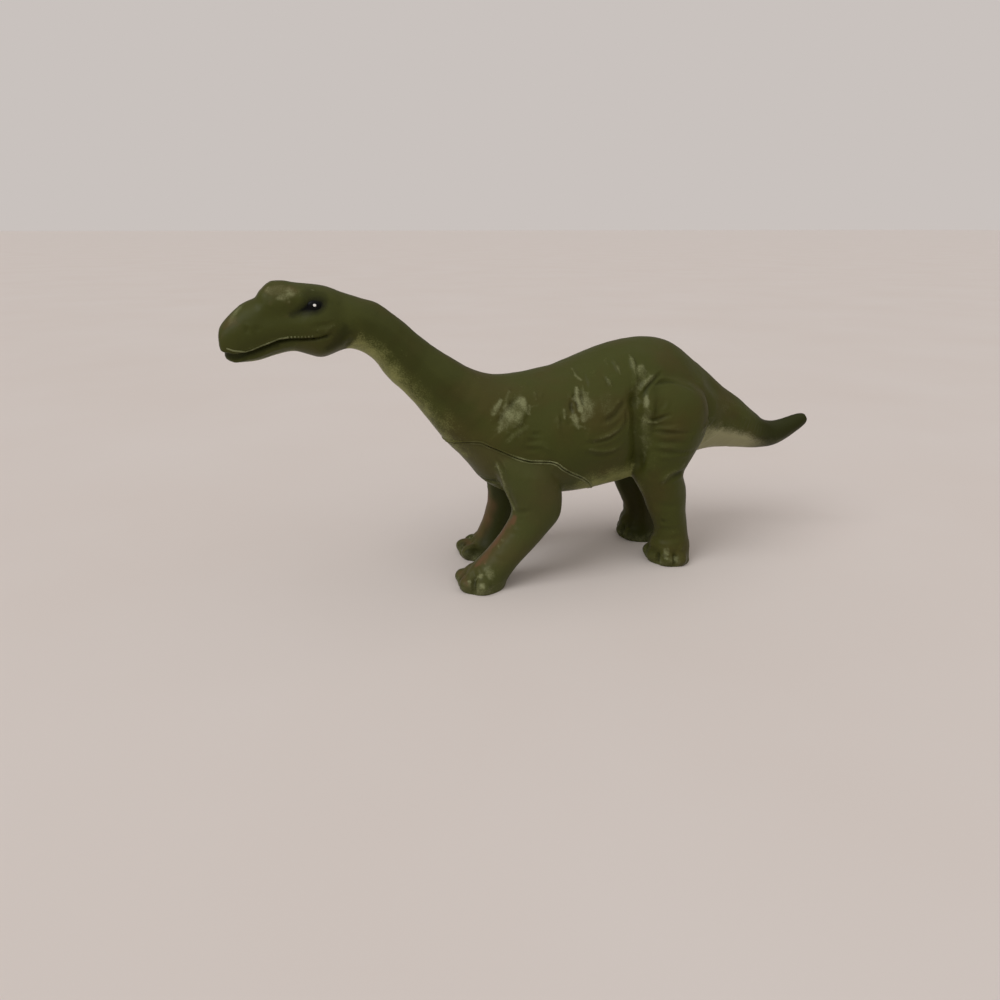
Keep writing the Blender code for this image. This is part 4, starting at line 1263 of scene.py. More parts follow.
    def toe_lines(self, side: Side, middle: tuple[float, float], toes: Sequence[float]) -> list[tuple[Stroke, Array]]:
        """The grooves between a foot's toes and the tendon to each toe, as strokes and their places."""
        foot, high = self.foot, self.foot.toe_height
        gaps = [(a + b) / 2 for a, b in zip(toes, toes[1:])]
        groove = ((0.26, foot.instep), (0.42, high * 0.85), (0.56, high * 0.5), (0.58, 0.3 * MM))
        tendon = ((0.12, foot.instep * 1.2), (0.26, high * 1.1), (0.40, high))
        return [
            (stroke, np.array([foot.toe_point(middle, side, angle, share, height) for share, height in rise]))
            for stroke, angles, rise in ((crease(1.2, 0.62), gaps, groove), (ridge(1.5, 0.32), toes, tendon))
            for angle in angles
        ]

    def press(self, places: Array, normals: Array, stroke: Stroke, line: Array, facing: Array) -> tuple[Array, Array]:
        """How far one stroke moves the skin.

        Args:
            places: The skin's vertices.
            normals: The ways that they face.
            stroke: The stroke.
            line: The places along it.
            facing: The ways that the skin faces along it.

        Returns:
            Which vertices it moves, and how far along their normals.
        """
        half = stroke.width * MM / 2
        reach = self.reach * half
        near = np.flatnonzero(np.all((places > line.min(0) - reach) & (places < line.max(0) + reach), axis=1))
        if not len(near):
            return near, np.empty(0)
        offset = places[near][:, None, :] - line[None, :, :]
        away = np.linalg.norm(offset, axis=2)
        closest = away.argmin(axis=1)
        rows = np.arange(len(near))
        ahead = np.gradient(line, axis=0)
        ahead /= np.linalg.norm(ahead, axis=1)[:, None] + 1e-12
        aside = np.einsum("ij,ij->i", offset[rows, closest], np.cross(facing, ahead)[closest])
        spread = away[rows, closest] / half
        along = np.concatenate([[0.0], np.cumsum(np.linalg.norm(np.diff(line, axis=0), axis=1))])
        ends = np.minimum(along, along[-1] - along) / (self.run_out * along[-1] + 1e-12)
        strength = np.ones(len(line))
        if stroke.form is not Form.SWELL:
            strength = self.end_strength + (1 - self.end_strength) * ease(0.0, 1.0, ends)
        same_way = ease(*self.same_way, np.einsum("ij,ij->i", normals[near], facing[closest]))
        return near, stroke.height * MM * strength[closest] * same_way * profile(stroke.form, spread, np.sign(aside))

    def sculpt(self, mesh: bpy.types.Mesh) -> tuple[Array, Array, Array]:
        """Moves the vertices of the skin as the modeller's tool did.

        Args:
            mesh: The melted skin.

        Returns:
            For each vertex, its new place, the way that it faced before, and how far thin lines raise it.
        """
        places, normals = read(mesh, "co"), read(mesh, "normal")
        base = place_object("sculpt_base", mesh)
        bpy.context.view_layer.update()
        moves = np.zeros(len(places))
        lines = np.zeros(len(places))
        for stroke, line, facing in self.lines(base):
            near, height = self.press(places, normals, stroke, line, facing)
            moves[near] += height
            if stroke.form is not Form.SWELL:
                lines[near] += height
        bpy.data.objects.remove(base)
        carved = self.mouth_depth(places)
        moves -= carved
        lines -= carved
        rear = self.trunk.head_place()[0]
        (calm, (far, close)), (leg_calm, heights) = self.head_calm, self.leg_calm
        smoother = 1 - calm * ease(rear + far, rear + close, places[:, 0])
        smoother *= 1 - leg_calm * ease(*heights, places[:, 2])
        for seed, (width, height) in enumerate(self.unevenness, start=1):
            moves += smoother * height * noise(places, width, seed)
        return places + normals * moves[:, None], normals, lines

    def mouth_depth(self, places: Array) -> Array:
        """How deep the mouth is cut at each vertex."""
        line = self.head.mouth_line()
        depth = np.zeros(len(places))
        near = np.flatnonzero(places[:, 0] < self.trunk.head_place()[0])
        away = np.linalg.norm(places[near][:, None, [0, 2]] - line[None, :, :], axis=2)
        onward = away.argmin(axis=1) / (len(line) - 1)
        half = self.head.mouth_gap / 2 * np.interp(onward, *self.head.mouth_widths)
        deep = self.head.mouth_depth * np.interp(onward, *self.head.mouth_depths)
        depth[near] = deep * np.exp(-((away.min(axis=1) / half) ** 2))
        return depth

    def kept_inside(self, places: Array) -> Array:
        """Squeezes what comes near the CAD's box smoothly, so that it stays inside and gets no flat face."""
        low, high = np.array(CAD_BOX)
        soft = np.array(self.soft_margin)
        over = np.maximum(0.0, places - (high - soft))
        under = np.maximum(0.0, low + soft - places)
        under[:, 2] = 0.0
        return np.clip(places - over + soft * np.tanh(over / soft) + under - soft * np.tanh(under / soft), low, high)

    def build(self) -> "Sculpted":
        """Makes the skin with its folds, and what the paint needs to know of it."""
        fine = self.melted()
        places, normals, lines = self.sculpt(fine)
        places = self.kept_inside(places)
        fine.vertices.foreach_set("co", places.astype(np.float32).ravel())
        fine.update()
        LOG.info("skin: %d vertices before thinning", len(places))
        obj = place_object("skin", fine)
        fewer = obj.modifiers.new("fewer_faces", "DECIMATE")
        fewer.ratio = min(1.0, self.triangles / (2 * len(fine.polygons)))
        return Sculpted(evaluated_mesh(obj), places, normals, lines)


def profile(form: Form, spread: Array, side: Array) -> Array:
    """The height across a stroke, as a share of its own.

    Args:
        form: What the stroke leaves.
        spread: How far each point is from the stroke's middle, in half widths.
        side: On which side it is: 1 on the left, -1 on the right.

    Returns:
        The share for each point.
    """
    lip_place, lip_width, crease_lip, ridge_foot = 1.7, 0.35, 0.28, 0.15
    fold_width, fold_gain = 1.6, 1.4
    hump = np.exp(-(spread**2))
    lips = np.exp(-((spread - lip_place) ** 2) / lip_width)
    if form is Form.CREASE:
        return crease_lip * lips - hump
    if form is Form.RIDGE:
        return hump - ridge_foot * lips
    if form is Form.FOLD:
        return side * spread * np.exp(-(spread**2) / fold_width) * fold_gain
    return hump


@dataclass
class Sculpted:
    """The sculpted skin, and what is known at each of its fine vertices.

    Attributes:
        mesh: The skin, thinned.
        places: The fine vertices, from before the thinning.
        normals: The ways that they faced before the folds.
        lines: How far thin lines raise them.
    """

    mesh: bpy.types.Mesh
    places: Array
    normals: Array
    lines: Array

    def __post_init__(self) -> None:
        """Sorts the fine vertices, so that the nearest one is found fast."""
        self.tree = KDTree(len(self.places))
        for number, place in enumerate(self.places):
            self.tree.insert(place, number)
        self.tree.balance()

    def nearest(self, places: Array) -> Array:
        """The number of the fine vertex nearest to each place."""
        return np.array([self.tree.find(place)[1] for place in places])


@dataclass(frozen=True)
class Seam:
    """The joint between the two castings, seen from the side, from the front of the chest to below the belly.

    Attributes:
        glue_gap: How far the lower casting is set back from it.
        body_flash: How far below it the upper flash runs, and its half width.
        foreleg_flash: The same for the lower flash.
        step: The distance between two points of a flash's path.
        shares: Rows of places along the trunk and heights as shares of the hip's.
    """

    trunk: Trunk
    glue_gap: float = 0.22 * MM
    body_flash: Span = (-0.16 * MM, 0.24 * MM)
    foreleg_flash: Span = (0.52 * MM, 0.18 * MM)
    step: float = 0.4 * MM
    shares: tuple[Span, ...] = (
        (-0.16, 0.91), (-0.12, 0.89), (-0.063, 0.911), (-0.009, 0.918), (0.024, 0.895), (0.062, 0.872),
        (0.12, 0.833), (0.18, 0.803), (0.209, 0.80), (0.269, 0.789), (0.303, 0.771), (0.325, 0.742),
        (0.365, 0.705), (0.436, 0.647), (0.494, 0.573), (0.525, 0.50), (0.54, 0.42),
    )

    def curve(self, drop: float) -> Array:
        """The seam in the middle plane, moved down across its own direction by `drop`."""
        points = spline([(self.trunk.along(a), h * self.trunk.hip_height) for a, h in self.shares], 8)
        ahead = np.gradient(points, axis=0)
        ahead /= np.linalg.norm(ahead, axis=1)[:, None]
        return points + drop * np.column_stack([ahead[:, 1], -ahead[:, 0]])

    def block(self, name: str, drop: float) -> bpy.types.Object:
        """A block that holds all of the figure below the seam."""
        seam = self.curve(drop)
        front, rear, floor = self.trunk.head_place()[0], seam[-1][0], -self.trunk.hip_height
        outline = [(front, seam[0][1])] + [tuple(point) for point in seam] + [(rear, floor), (front, floor)]
        half_width = self.trunk.width
        shape = bmesh.new()
        side = shape.faces.new([shape.verts.new((x, -half_width, z)) for x, z in outline])
        pulled = bmesh.ops.extrude_face_region(shape, geom=[side])["geom"]
        far_side = [part for part in pulled if isinstance(part, bmesh.types.BMVert)]
        bmesh.ops.translate(shape, verts=far_side, vec=(0.0, 2 * half_width, 0.0))
        bmesh.ops.recalc_face_normals(shape, faces=shape.faces[:])
        bmesh.ops.triangulate(shape, faces=shape.faces[:])
        return place_object(name, mesh_of(name, shape))

    def loop(self, skin: Sculpted, drop: float) -> tuple[Array, Array]:
        """Where the seam runs round the skin.

        Args:
            skin: The sculpted skin.
            drop: How far below the seam the loop is taken.

        Returns:
            The places along the closed loop, and the ways that the skin faces there.
        """
        mesh = skin.mesh
        places, normals = read(mesh, "co"), read(mesh, "normal")
        curve = self.curve(drop)
        above = places[:, 2] - np.interp(places[:, 0], curve[:, 0], curve[:, 1])
        above[places[:, 0] > curve[-1, 0]] = 1.0
        above[above == 0.0] = 1e-9
        mesh.calc_loop_triangles()
        corners = np.empty(len(mesh.loop_triangles) * 3, np.int32)
        mesh.loop_triangles.foreach_get("vertices", corners)
        corners = corners.reshape(-1, 3)
        high = above[corners] > 0
        crossed = corners[high.any(axis=1) & ~high.all(axis=1)]
        links: dict[tuple[int, int], list[tuple[int, int]]] = {}
        for face in crossed:
            edges = [tuple(sorted((int(face[i]), int(face[(i + 1) % 3])))) for i in range(3)]
            cut = [edge for edge in edges if (above[edge[0]] > 0) != (above[edge[1]] > 0)]
            links.setdefault(cut[0], []).append(cut[1])
            links.setdefault(cut[1], []).append(cut[0])
        longest: list[tuple[int, int]] = []
        unused = set(links)
        while unused:
            walk = [min(unused)]
            unused.discard(walk[0])
            while True:
                onward = [edge for edge in links[walk[-1]] if edge in unused]
                if not onward:
                    break
                walk.append(onward[0])
                unused.discard(onward[0])
            if len(walk) > len(longest):
                longest = walk
        first, second = np.array(longest).T
        share = (above[first] / (above[first] - above[second]))[:, None]
        on_skin = places[first] * (1 - share) + places[second] * share
        facing = normals[first] * (1 - share) + normals[second] * share
        return even_loop(on_skin, facing, self.step)


def even_loop(places: Array, facing: Array, step: float) -> tuple[Array, Array]:
    """Spreads the points of a closed loop evenly, and softens its small kinks.

    Args:
        places: The points of the loop.
        facing: A direction at each of them.
        step: The distance between the new points.

    Returns:
        The new points and their directions, which are one unit long.
    """
    ring = np.vstack([places, places[:1]])
    ways = np.vstack([facing, facing[:1]])
    along = np.concatenate([[0.0], np.cumsum(np.linalg.norm(np.diff(ring, axis=0), axis=1))])
    at = np.arange(0.0, along[-1], step)
    rows = np.column_stack([np.interp(at, along, column) for column in np.hstack([ring, ways]).T])
    for _ in range(4):
        rows = (np.roll(rows, 1, axis=0) + 2 * rows + np.roll(rows, -1, axis=0)) / 4
    ways = rows[:, 3:]
    return rows[:, :3], ways / np.linalg.norm(ways, axis=1)[:, None]


def new_group(name: str, sizes: dict[str, float]) -> bpy.types.NodeTree:
    """A Geometry Nodes tree with a geometry input and output, and an input for each named number."""
    tree = bpy.data.node_groups.new(f"{name}_nodes", "GeometryNodeTree")
    tree.interface.new_socket("Geometry", in_out="INPUT", socket_type="NodeSocketGeometry")
    for label, value in sizes.items():
        tree.interface.new_socket(label, in_out="INPUT", socket_type="NodeSocketFloat").default_value = value
    tree.interface.new_socket("Geometry", in_out="OUTPUT", socket_type="NodeSocketGeometry")
    return tree


def close_group(tree: bpy.types.NodeTree, shape: bpy.types.NodeSocket, finish: bpy.types.Material) -> None:
    """Ends a tree: the shape is shaded smooth, made real and given its material."""
    smooth = add_node(tree, "GeometryNodeSetShadeSmooth", {}, {"Geometry": shape})
    real = add_node(tree, "GeometryNodeRealizeInstances", {}, {"Geometry": smooth.outputs["Geometry"]})
    dressed = add_node(tree, "GeometryNodeSetMaterial", {}, {"Geometry": real.outputs["Geometry"], "Material": finish})
    add_node(tree, "NodeGroupOutput", {}, {"Geometry": dressed.outputs["Geometry"]})


def along_line(name: str, line: Array, closed: bool, group: bpy.types.NodeTree) -> bpy.types.Object:
    """Runs a tree over a line.

    Args:
        name: The new object's name.
        line: The places along the line.
        closed: Whether it ends where it starts.
        group: The tree, whose inputs keep their default values.

    Returns:
        An object with the plain mesh that comes out.
    """
    data = bpy.data.curves.new(name, "CURVE")
    data.dimensions = "3D"
    path = data.splines.new("POLY")
    path.points.add(len(line) - 1)
    path.points.foreach_set("co", np.column_stack([line, np.ones(len(line))]).ravel())
    path.use_cyclic_u = closed
    curve = place_object(f"{name}_path", data)
    nodes = curve.modifiers.new("nodes", "NODES")
    nodes.node_group = group
    for item in group.interface.items_tree:
        if item.in_out == "INPUT" and item.socket_type == "NodeSocketFloat":
            nodes[item.identifier] = item.default_value
    made = place_object(name, evaluated_mesh(curve))
    made.data.name = name
    return made


@dataclass
class Flash:
    """A thin bead of vinyl that was squeezed out along an edge of the seam, made with Geometry Nodes.

    Attributes:
        radius: The bead's mean half width.
        unevenness: How much its width varies, as a share.
        patch: How long a thicker or thinner stretch is.
        seed: Which pattern of stretches it gets.
    """

    name: str
    radius: float
    unevenness: float = 0.75
    patch: float = 3.0 * MM
    step: float = 0.3 * MM
    sides: int = 8
    seed: float = 7.0

    def tree(self, finish: bpy.types.Material) -> bpy.types.NodeTree:
        """The nodes that turn a curve into the bead."""
        sizes = {
            "Radius": self.radius,
            "Unevenness": self.unevenness,
            "Patches per metre": 1 / self.patch,
            "Step": self.step,
            "Seed": self.seed,
        }
        tree = new_group(self.name, sizes)
        given = add_node(tree, "NodeGroupInput").outputs
        path = {"Curve": given["Geometry"], "Length": given["Step"]}
        even = add_node(tree, "GeometryNodeResampleCurve", {"mode": "LENGTH"}, path)
        stretches = {"W": given["Seed"], "Scale": given["Patches per metre"], "Detail": 2.0}
        waves = add_node(tree, "ShaderNodeTexNoise", {"noise_dimensions": "4D"}, stretches)
        about = add_node(tree, "ShaderNodeMath", {"operation": "SUBTRACT"}, {0: waves.outputs["Fac"], 1: 0.5})
        swing = {0: about.outputs[0], 1: given["Unevenness"]}
        spread = add_node(tree, "ShaderNodeMath", {"operation": "MULTIPLY"}, swing)
        share = add_node(tree, "ShaderNodeMath", {"operation": "MULTIPLY_ADD"}, {0: spread.outputs[0], 1: 2.0, 2: 1.0})
        circle = {"Resolution": self.sides, "Radius": given["Radius"]}
        ring = add_node(tree, "GeometryNodeCurvePrimitiveCircle", {}, circle)
        widths = {"Curve": even.outputs["Curve"], "Radius": share.outputs[0]}
        thick = add_node(tree, "GeometryNodeSetCurveRadius", {}, widths)
        parts = {"Curve": thick.outputs["Curve"], "Profile Curve": ring.outputs["Curve"], "Scale": share.outputs[0]}
        bead = add_node(tree, "GeometryNodeCurveToMesh", {}, parts)
        close_group(tree, bead.outputs["Mesh"], finish)
        return tree

    def build(self, line: Array, finish: bpy.types.Material, closed: bool = True) -> bpy.types.Object:
        """Makes the bead along a line."""
        return along_line(self.name, line, closed, self.tree(finish))


@dataclass
class LipBeads:
    """The row of tiny knobs along the rear of an upper lip, made with Geometry Nodes.

    Attributes:
        spacing: The distance between two knobs.
        size: The diameter of a knob.
    """

    name: str
    spacing: float = 0.74 * MM
    size: float = 0.46 * MM

    def build(self, line: Array, finish: bpy.types.Material) -> bpy.types.Object:
        """Makes the knobs along an open line."""
        tree = new_group(self.name, {"Spacing": self.spacing, "Radius": self.size / 2})
        given = add_node(tree, "NodeGroupInput").outputs
        path = {"Curve": given["Geometry"], "Length": given["Spacing"]}
        places = add_node(tree, "GeometryNodeResampleCurve", {"mode": "LENGTH"}, path)
        knob = add_node(tree, "GeometryNodeMeshIcoSphere", {}, {"Radius": given["Radius"], "Subdivisions": 2})
        parts = {"Points": places.outputs["Curve"], "Instance": knob.outputs["Mesh"]}
        row = add_node(tree, "GeometryNodeInstanceOnPoints", {}, parts)
        close_group(tree, row.outputs["Instances"], finish)
        return along_line(self.name, line, False, tree)


@dataclass(frozen=True)
class Surface:
    """The places that paint is laid on. Its methods run from 0 to 1 between a start and an end.

    Attributes:
        facing: The ways that the skin faces there.
        lines: How far the sculpted lines raise the skin there.
    """

    trunk: Trunk
    places: Array
    facing: Array
    lines: Array

    def behind_head(self, start: float, end: float) -> Array:
        """Between two distances behind the head's rear end."""
        rear = self.trunk.head_place()[0]
        return ease(rear + start, rear + end, self.places[:, 0])

    def behind_chest(self, start: float, end: float) -> Array:
        """Between two distances behind the front of the chest."""
        chest = self.trunk.front()[0]
        return ease(chest + start, chest + end, self.places[:, 0])

    def along_trunk(self, start: float, end: float) -> Array:
        """Between two places along the trunk."""
        return ease(self.trunk.along(start), self.trunk.along(end), self.places[:, 0])

    def along_tail(self, start: float, end: float) -> Array:
        """Between two shares of the tail's length."""
        root, length = self.trunk.along(1.0), self.trunk.tail_length
        return ease(root + length * start, root + length * end, self.places[:, 0])

    def by_height(self, start: float, end: float) -> Array:
        """Between two heights."""
        return ease(start, end, self.places[:, 2])


@dataclass
class PaintWork:
    """Where the sprayed and brushed paint lies on the skin, with the painted shade, highlights and reflections.

    Attributes:
        edges: Shares of the way from head to chest, and how far down the neck's spray starts there.
        strengths: Such shares, and its strength there.
        eye_patch: The black paint round the left eye, as pixels of the picture.
        eye_patch_width: How wide that patch is at each of those pixels, in millimetres.
        eye_edge: The width over which it sets in.
        eye_halo: How strong the painted shade around it is, and how far that reaches.
        lip_rim: The light edge of the left upper lip, paint thinned by wear with a painted highlight, as pixels of the
            picture.
        lip_knobs: Where the row of knobs behind it runs, also as pixels.
        lip_radius: The half width of the rim.
        lip_unevenness: How much that varies, as a share.
        stance: The heights, as shares of the hip's, between which a foreleg's marks move with its foot.
        mark_ends: How wide a mark still is at its ends, as a share.
        ragged: How uneven the edge of a mark is, as rows of a share, the width of the waves, and their seed.
    """

    skin: Skin
    edges: Rows = ((0.0, 0.3, 0.7, 1.0), (-0.1, -0.2, -0.18, 0.0))
    strengths: Rows = ((-0.1, 0.05, 0.35, 0.75, 1.1), (0.9, 0.95, 1.05, 0.68, 0.26))
    eye_patch: tuple[Pixel, ...] = (
        (292.0, 314.5), (298.0, 312.0), (304.0, 309.3), (310.0, 307.2), (315.0, 306.0), (319.0, 304.5),
    )
    eye_patch_width: tuple[float, ...] = (0.2, 0.6, 1.5, 2.5, 2.9, 2.3)
    eye_edge: float = 2.2 * MM
    eye_halo: Span = (0.5, 2.0 * MM)
    lip_rim: tuple[Pixel, ...] = (
        (226.5, 348.4), (233.5, 350.8), (241.0, 351.6), (247.0, 351.2), (254.0, 348.9),
        (262.0, 345.6), (271.5, 341.9), (279.6, 338.9), (288.0, 337.6),
    )
    lip_knobs: tuple[Pixel, ...] = ((288.0, 337.3), (295.0, 337.0), (303.0, 336.9), (312.5, 336.4))
    lip_radius: float = 0.19 * MM
    lip_unevenness: float = 0.3
    stance: Span = (0.62, 0.45)
    mark_ends: float = 0.4
    ragged: tuple[tuple[float, float, int], ...] = ((0.5, 1.4 * MM, 17), (0.35, 0.6 * MM, 18))

    def prepare(self, base: Sculpted) -> None:
        """Finds the places of the eye patch, the lip, and the marks of wear and painted highlight, of dirt and painted
        reflection, and of painted shade on the skin.
        """
        obj = place_object("paint_base", base.mesh.copy())
        bpy.context.view_layer.update()
        seen = self.skin.seen(obj, "eye_patch", self.eye_patch)
        self.patch = spline(np.column_stack([seen, np.array(self.eye_patch_width) * MM / 2]), 6)
        self.rubs, self.stains, self.shades = (
            [(rub, self.along(obj, name, rub)) for name, rub in places.items()]
            for places in (WEAR_AND_HIGHLIGHT_PLACES, STAIN_AND_REFLECTION_PLACES, SHADED_PLACES)
        )
        self.rim, self.knobs = (
            self.skin.snapped(obj, self.skin.seen(obj, "lip", path))[0] for path in (self.lip_rim, self.lip_knobs)
        )
        bpy.data.objects.remove(obj)

    def along(self, obj: bpy.types.Object, name: str, rub: PaintMark) -> Array:
        """The places along a mark. A mark of which the near side shows one place is a dot there."""
        seen = self.skin.seen(obj, name, rub.path)
        return spline(seen, 6) if len(seen) > 1 else seen

    def marked(self, places: Array, marks: list[tuple[PaintMark, Array]]) -> Array:
        """How far some marks reach each place. A mark is also made on the right side.

        Args:
            places: The places.
            marks: Each mark and the places along it.

        Returns:
            A share from 0 to 1 for each place.
        """
        trunk, legs = self.skin.trunk, self.skin.fore_legs
        x, y, z = places.T
        shift = legs[Side.RIGHT].axis_x(z) - legs[Side.LEFT].axis_x(z)
        shift *= ease(trunk.hip_height * self.stance[0], trunk.hip_height * self.stance[1], z)
        left = np.column_stack([x - np.where((y > 0) & (x < trunk.along(0.5)), shift, 0.0), -np.abs(y), z])
        share = np.zeros(len(places))
        for rub, line in marks:
            half = rub.width * MM / 2
            reach = 2.5 * half
            near = np.flatnonzero(np.all((left > line.min(0) - reach) & (left < line.max(0) + reach), axis=1))
            if len(near):
                swell = np.sin(np.linspace(0.0, math.pi, len(line) + 2)[1:-1]) ** 0.6
                halves = half * (self.mark_ends + (1 - self.mark_ends) * swell)
                away = (np.linalg.norm(left[near][:, None, :] - line[None, :, :], axis=2) / halves).min(axis=1)
                away *= 1 + sum(uneven * noise(left[near], size, seed) for uneven, size, seed in self.ragged)
                share[near] = np.maximum(share[near], rub.strength * np.exp(-(away**2)))
        return share

    def eye_paint(self, places: Array) -> Array:
        """How black the patch round each eye is at each place, with a fainter halo of painted shade round it."""
        left = places * (1.0, 0.0, 1.0) - np.abs(places) * (0.0, 1.0, 0.0)
        close = np.flatnonzero(np.linalg.norm(left - self.patch[0, :3], axis=1) < 12 * MM)
        away = np.linalg.norm(left[close][:, None, :] - self.patch[None, :, :3], axis=2)
        inside = (self.patch[:, 3] - away).max(axis=1)
        halo, width = self.eye_halo
        paint = np.zeros(len(places))
        # The halo is painted shade in the eye socket round the patch.
        paint[close] = np.maximum(np.clip(0.5 + inside / self.eye_edge, 0, 1), halo * ease(-width, 0.0, inside))
        return paint

    def apply(self, mesh: bpy.types.Mesh, base: Sculpted, bare_and_lit: bool = False) -> None:
        """Stores the paint's attributes on a casting.

        Args:
            mesh: The casting's mesh.
            base: The skin that it was cut from.
            bare_and_lit: Whether it stands so proud that wear thins its paint all over, with a painted highlight along
                it.
        """
        places = read(mesh, "co")
        nearest = base.nearest(places)
        on = Surface(self.skin.trunk, places, base.normals[nearest], base.lines[nearest])
        set_attribute(mesh, "pale", self.sprayed(on))
        # sunk holds painted shade, stained holds dirt and a painted warm reflection, worn holds wear and painted
        # highlights.
        set_attribute(mesh, "sunk", np.maximum(self.shaded(on), self.marked(places, self.shades)))
        set_attribute(mesh, "stained", np.maximum(self.stained(on), self.marked(places, self.stains)))
        wear_and_highlight = self.bared_and_lit(on) if bare_and_lit else np.maximum(self.wear_and_sheen(on), self.marked(places, self.rubs))
        set_attribute(mesh, "wear_and_highlight", wear_and_highlight)
        set_attribute(mesh, "eye_paint", self.eye_paint(places))

    def neck_spray(self, on: Surface) -> Array:
        """How strong the paler green under the neck is. Its front edge leans back and wavers across the throat."""
        x, _, z = on.places.T
        (rear, middle), chest = on.trunk.head_place(), on.trunk.front()[0]
        below = (x - rear) / (chest - rear)
        edge = rear + 2.0 * MM - 0.5 * (middle - 2.3 * MM - z)
        area = ease(-0.6 * MM, 1.4 * MM, x - edge + 0.5 * MM * noise(on.places, 1.5 * MM, 19))
        area *= ease(on.trunk.along(0.15), chest - 4 * MM, x) * np.interp(below, *self.strengths)
        return area * ease(0.0, 1.15, -on.facing[:, 2] - np.interp(below, *self.edges))

    def sprayed(self, on: Surface) -> Array:
        """How strong the paler green is, with the span of how far down the skin faces for each part, and painted bounce
        light below.
        """
        down = -on.facing[:, 2]
        tail = on.along_trunk(0.86, 1.02) * ease(11 * MM, 8.5 * MM, np.abs(on.places[:, 1]))
        belly = on.along_trunk(0.3, 0.5) * (1 - tail)
        parts = (
            self.neck_spray(on),
            1.15 * ease(-0.02, 0.5, down) * tail * (1 - 0.6 * on.along_tail(0.35, 0.7)),
            0.85 * ease(0.25, 0.85, down) * belly,
            # Every downward face: the paler spray, lifted further as painted bounce light from the shelf.
            0.7 * ease(0.75, 1.0, down) * (1 - on.behind_head(-14 * MM, -8 * MM)),
            0.45 * ease(0.4, 1.0, down) * on.behind_head(0.0, 2 * MM),
        )
        above_legs = 1 - on.by_height(24 * MM, 18 * MM)
        return np.maximum.reduce(parts) * above_legs + 0.08 * noise(on.places, 4 * MM, 11)

    def shaded(self, on: Surface) -> Array:
        """How dark the skin is: painted shade in folds and inside the legs, darker sides of neck and head, dark tail
        end.
        """
        down, inwards = -on.facing[:, 2], -on.facing[:, 1] * np.sign(on.places[:, 1])
        neck = on.behind_head(0.0, 6 * MM) * on.behind_chest(6 * MM, -6 * MM) * ease(0.5, 0.1, np.abs(down + 0.1))
        head = (1 - on.behind_head(-2 * MM, 3 * MM)) * ease(0.75, 0.4, np.abs(down))
        leg = on.by_height(26 * MM, 20 * MM) * ease(0.1, 0.6, inwards)
        # Painted shade: folds darken with their depth, and the legs on their inner sides.
        folds = np.clip(-on.lines / (0.8 * MM), 0, 1)
        return np.maximum.reduce((folds, 0.45 * neck, 0.95 * on.along_tail(0.35, 0.7), 0.75 * leg, 0.32 * head))

    def stained(self, on: Surface) -> Array:
        """How stained the fronts of the forelegs are."""
        shank = on.by_height(20 * MM, 15 * MM) * on.by_height(3 * MM, 7 * MM) * on.along_trunk(0.5, 0.4)
        return 0.65 * shank * ease(0.4, 1.0, -on.facing[:, 0])

    def wear_and_sheen(self, on: Surface) -> Array:
        """How light the raised lines and the lower edges of the feet are: paint thinned by wear, with painted
        highlights.
        """
        low = on.by_height(5.0 * MM, 1.2 * MM) * ease(-0.2, 0.4, 1 - np.abs(on.facing[:, 2]))
        raised = np.clip(on.lines / (0.7 * MM), 0, 1)
        return 0.6 * raised + low * np.where(on.places[:, 0] < on.trunk.along(0.5), 0.5, 0.42)

    def bared_and_lit(self, on: Surface) -> Array:
        """How light a thin proud piece is, from wear and a painted highlight along it, which is less at the front of
        the chest.
        """
        front = on.behind_chest(9 * MM, 5 * MM) * on.behind_head(0.0, 4 * MM)
        return (0.8 + 0.5 * noise(on.places, 2.5 * MM, 13)) * (1 - 0.7 * front)


@dataclass
class Casting:
    """One of the two vinyl castings, cut from the skin along the seam.

    Attributes:
        node: The CAD node that it stands for.
        slot: The record's material slot. It is not used.
        drop: How far below the seam it is cut.
        below: Whether it is the part below the seam.
        sharp: The angle from which an edge of it is sharp, in degrees.
    """

    node: str
    slot: str
    name: str
    drop: float
    below: bool
    sharp: float = 62.0

    def build(self, base: Sculpted, seam: Seam) -> bpy.types.Object:
        """Cuts the casting from the skin and flattens its soles."""
        casting = place_object(self.name, base.mesh.copy())
        casting.data.name = self.name
        block = seam.block(f"{self.name}_block", self.drop)
        ground = ground_block(seam.trunk)
        for tool, operation in ((ground, "DIFFERENCE"), (block, "INTERSECT" if self.below else "DIFFERENCE")):
            cut = casting.modifiers.new(operation.lower(), "BOOLEAN")
            cut.operation = operation
            cut.object = tool
            cut.solver = "MANIFOLD"
        mesh = evaluated_mesh(casting)
        for tool in (block, ground):
            bpy.data.objects.remove(tool)
        return place_object(self.name, mesh)

    def dress(self, obj: bpy.types.Object, paint: PaintWork, base: Sculpted, finish: bpy.types.Material) -> None:
        """Gives the casting its paint, and puts it in the CAD node's place."""
        mesh = obj.data
        mesh.materials.clear()
        mesh.materials.append(finish)
        mesh.shade_smooth()
        mesh.set_sharp_from_angle(angle=math.radians(self.sharp))
        paint.apply(mesh, base)
        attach(obj, BODY)
        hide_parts(self.node)
        LOG.info("%s: %d vertices, %d faces", self.name, len(mesh.vertices), len(mesh.polygons))


def ground_block(trunk: Trunk) -> bpy.types.Object:
    """A block under the ground, which leaves the soles flat."""
    length = 4 * trunk.length
    shape = bmesh.new()
    size = Matrix.Diagonal((length, 4 * trunk.width, trunk.hip_height, 1.0))
    bmesh.ops.create_cube(shape, size=1.0, matrix=Matrix.Translation((0.0, 0.0, -trunk.hip_height / 2)) @ size)
    return place_object("below_ground", mesh_of("below_ground", shape))


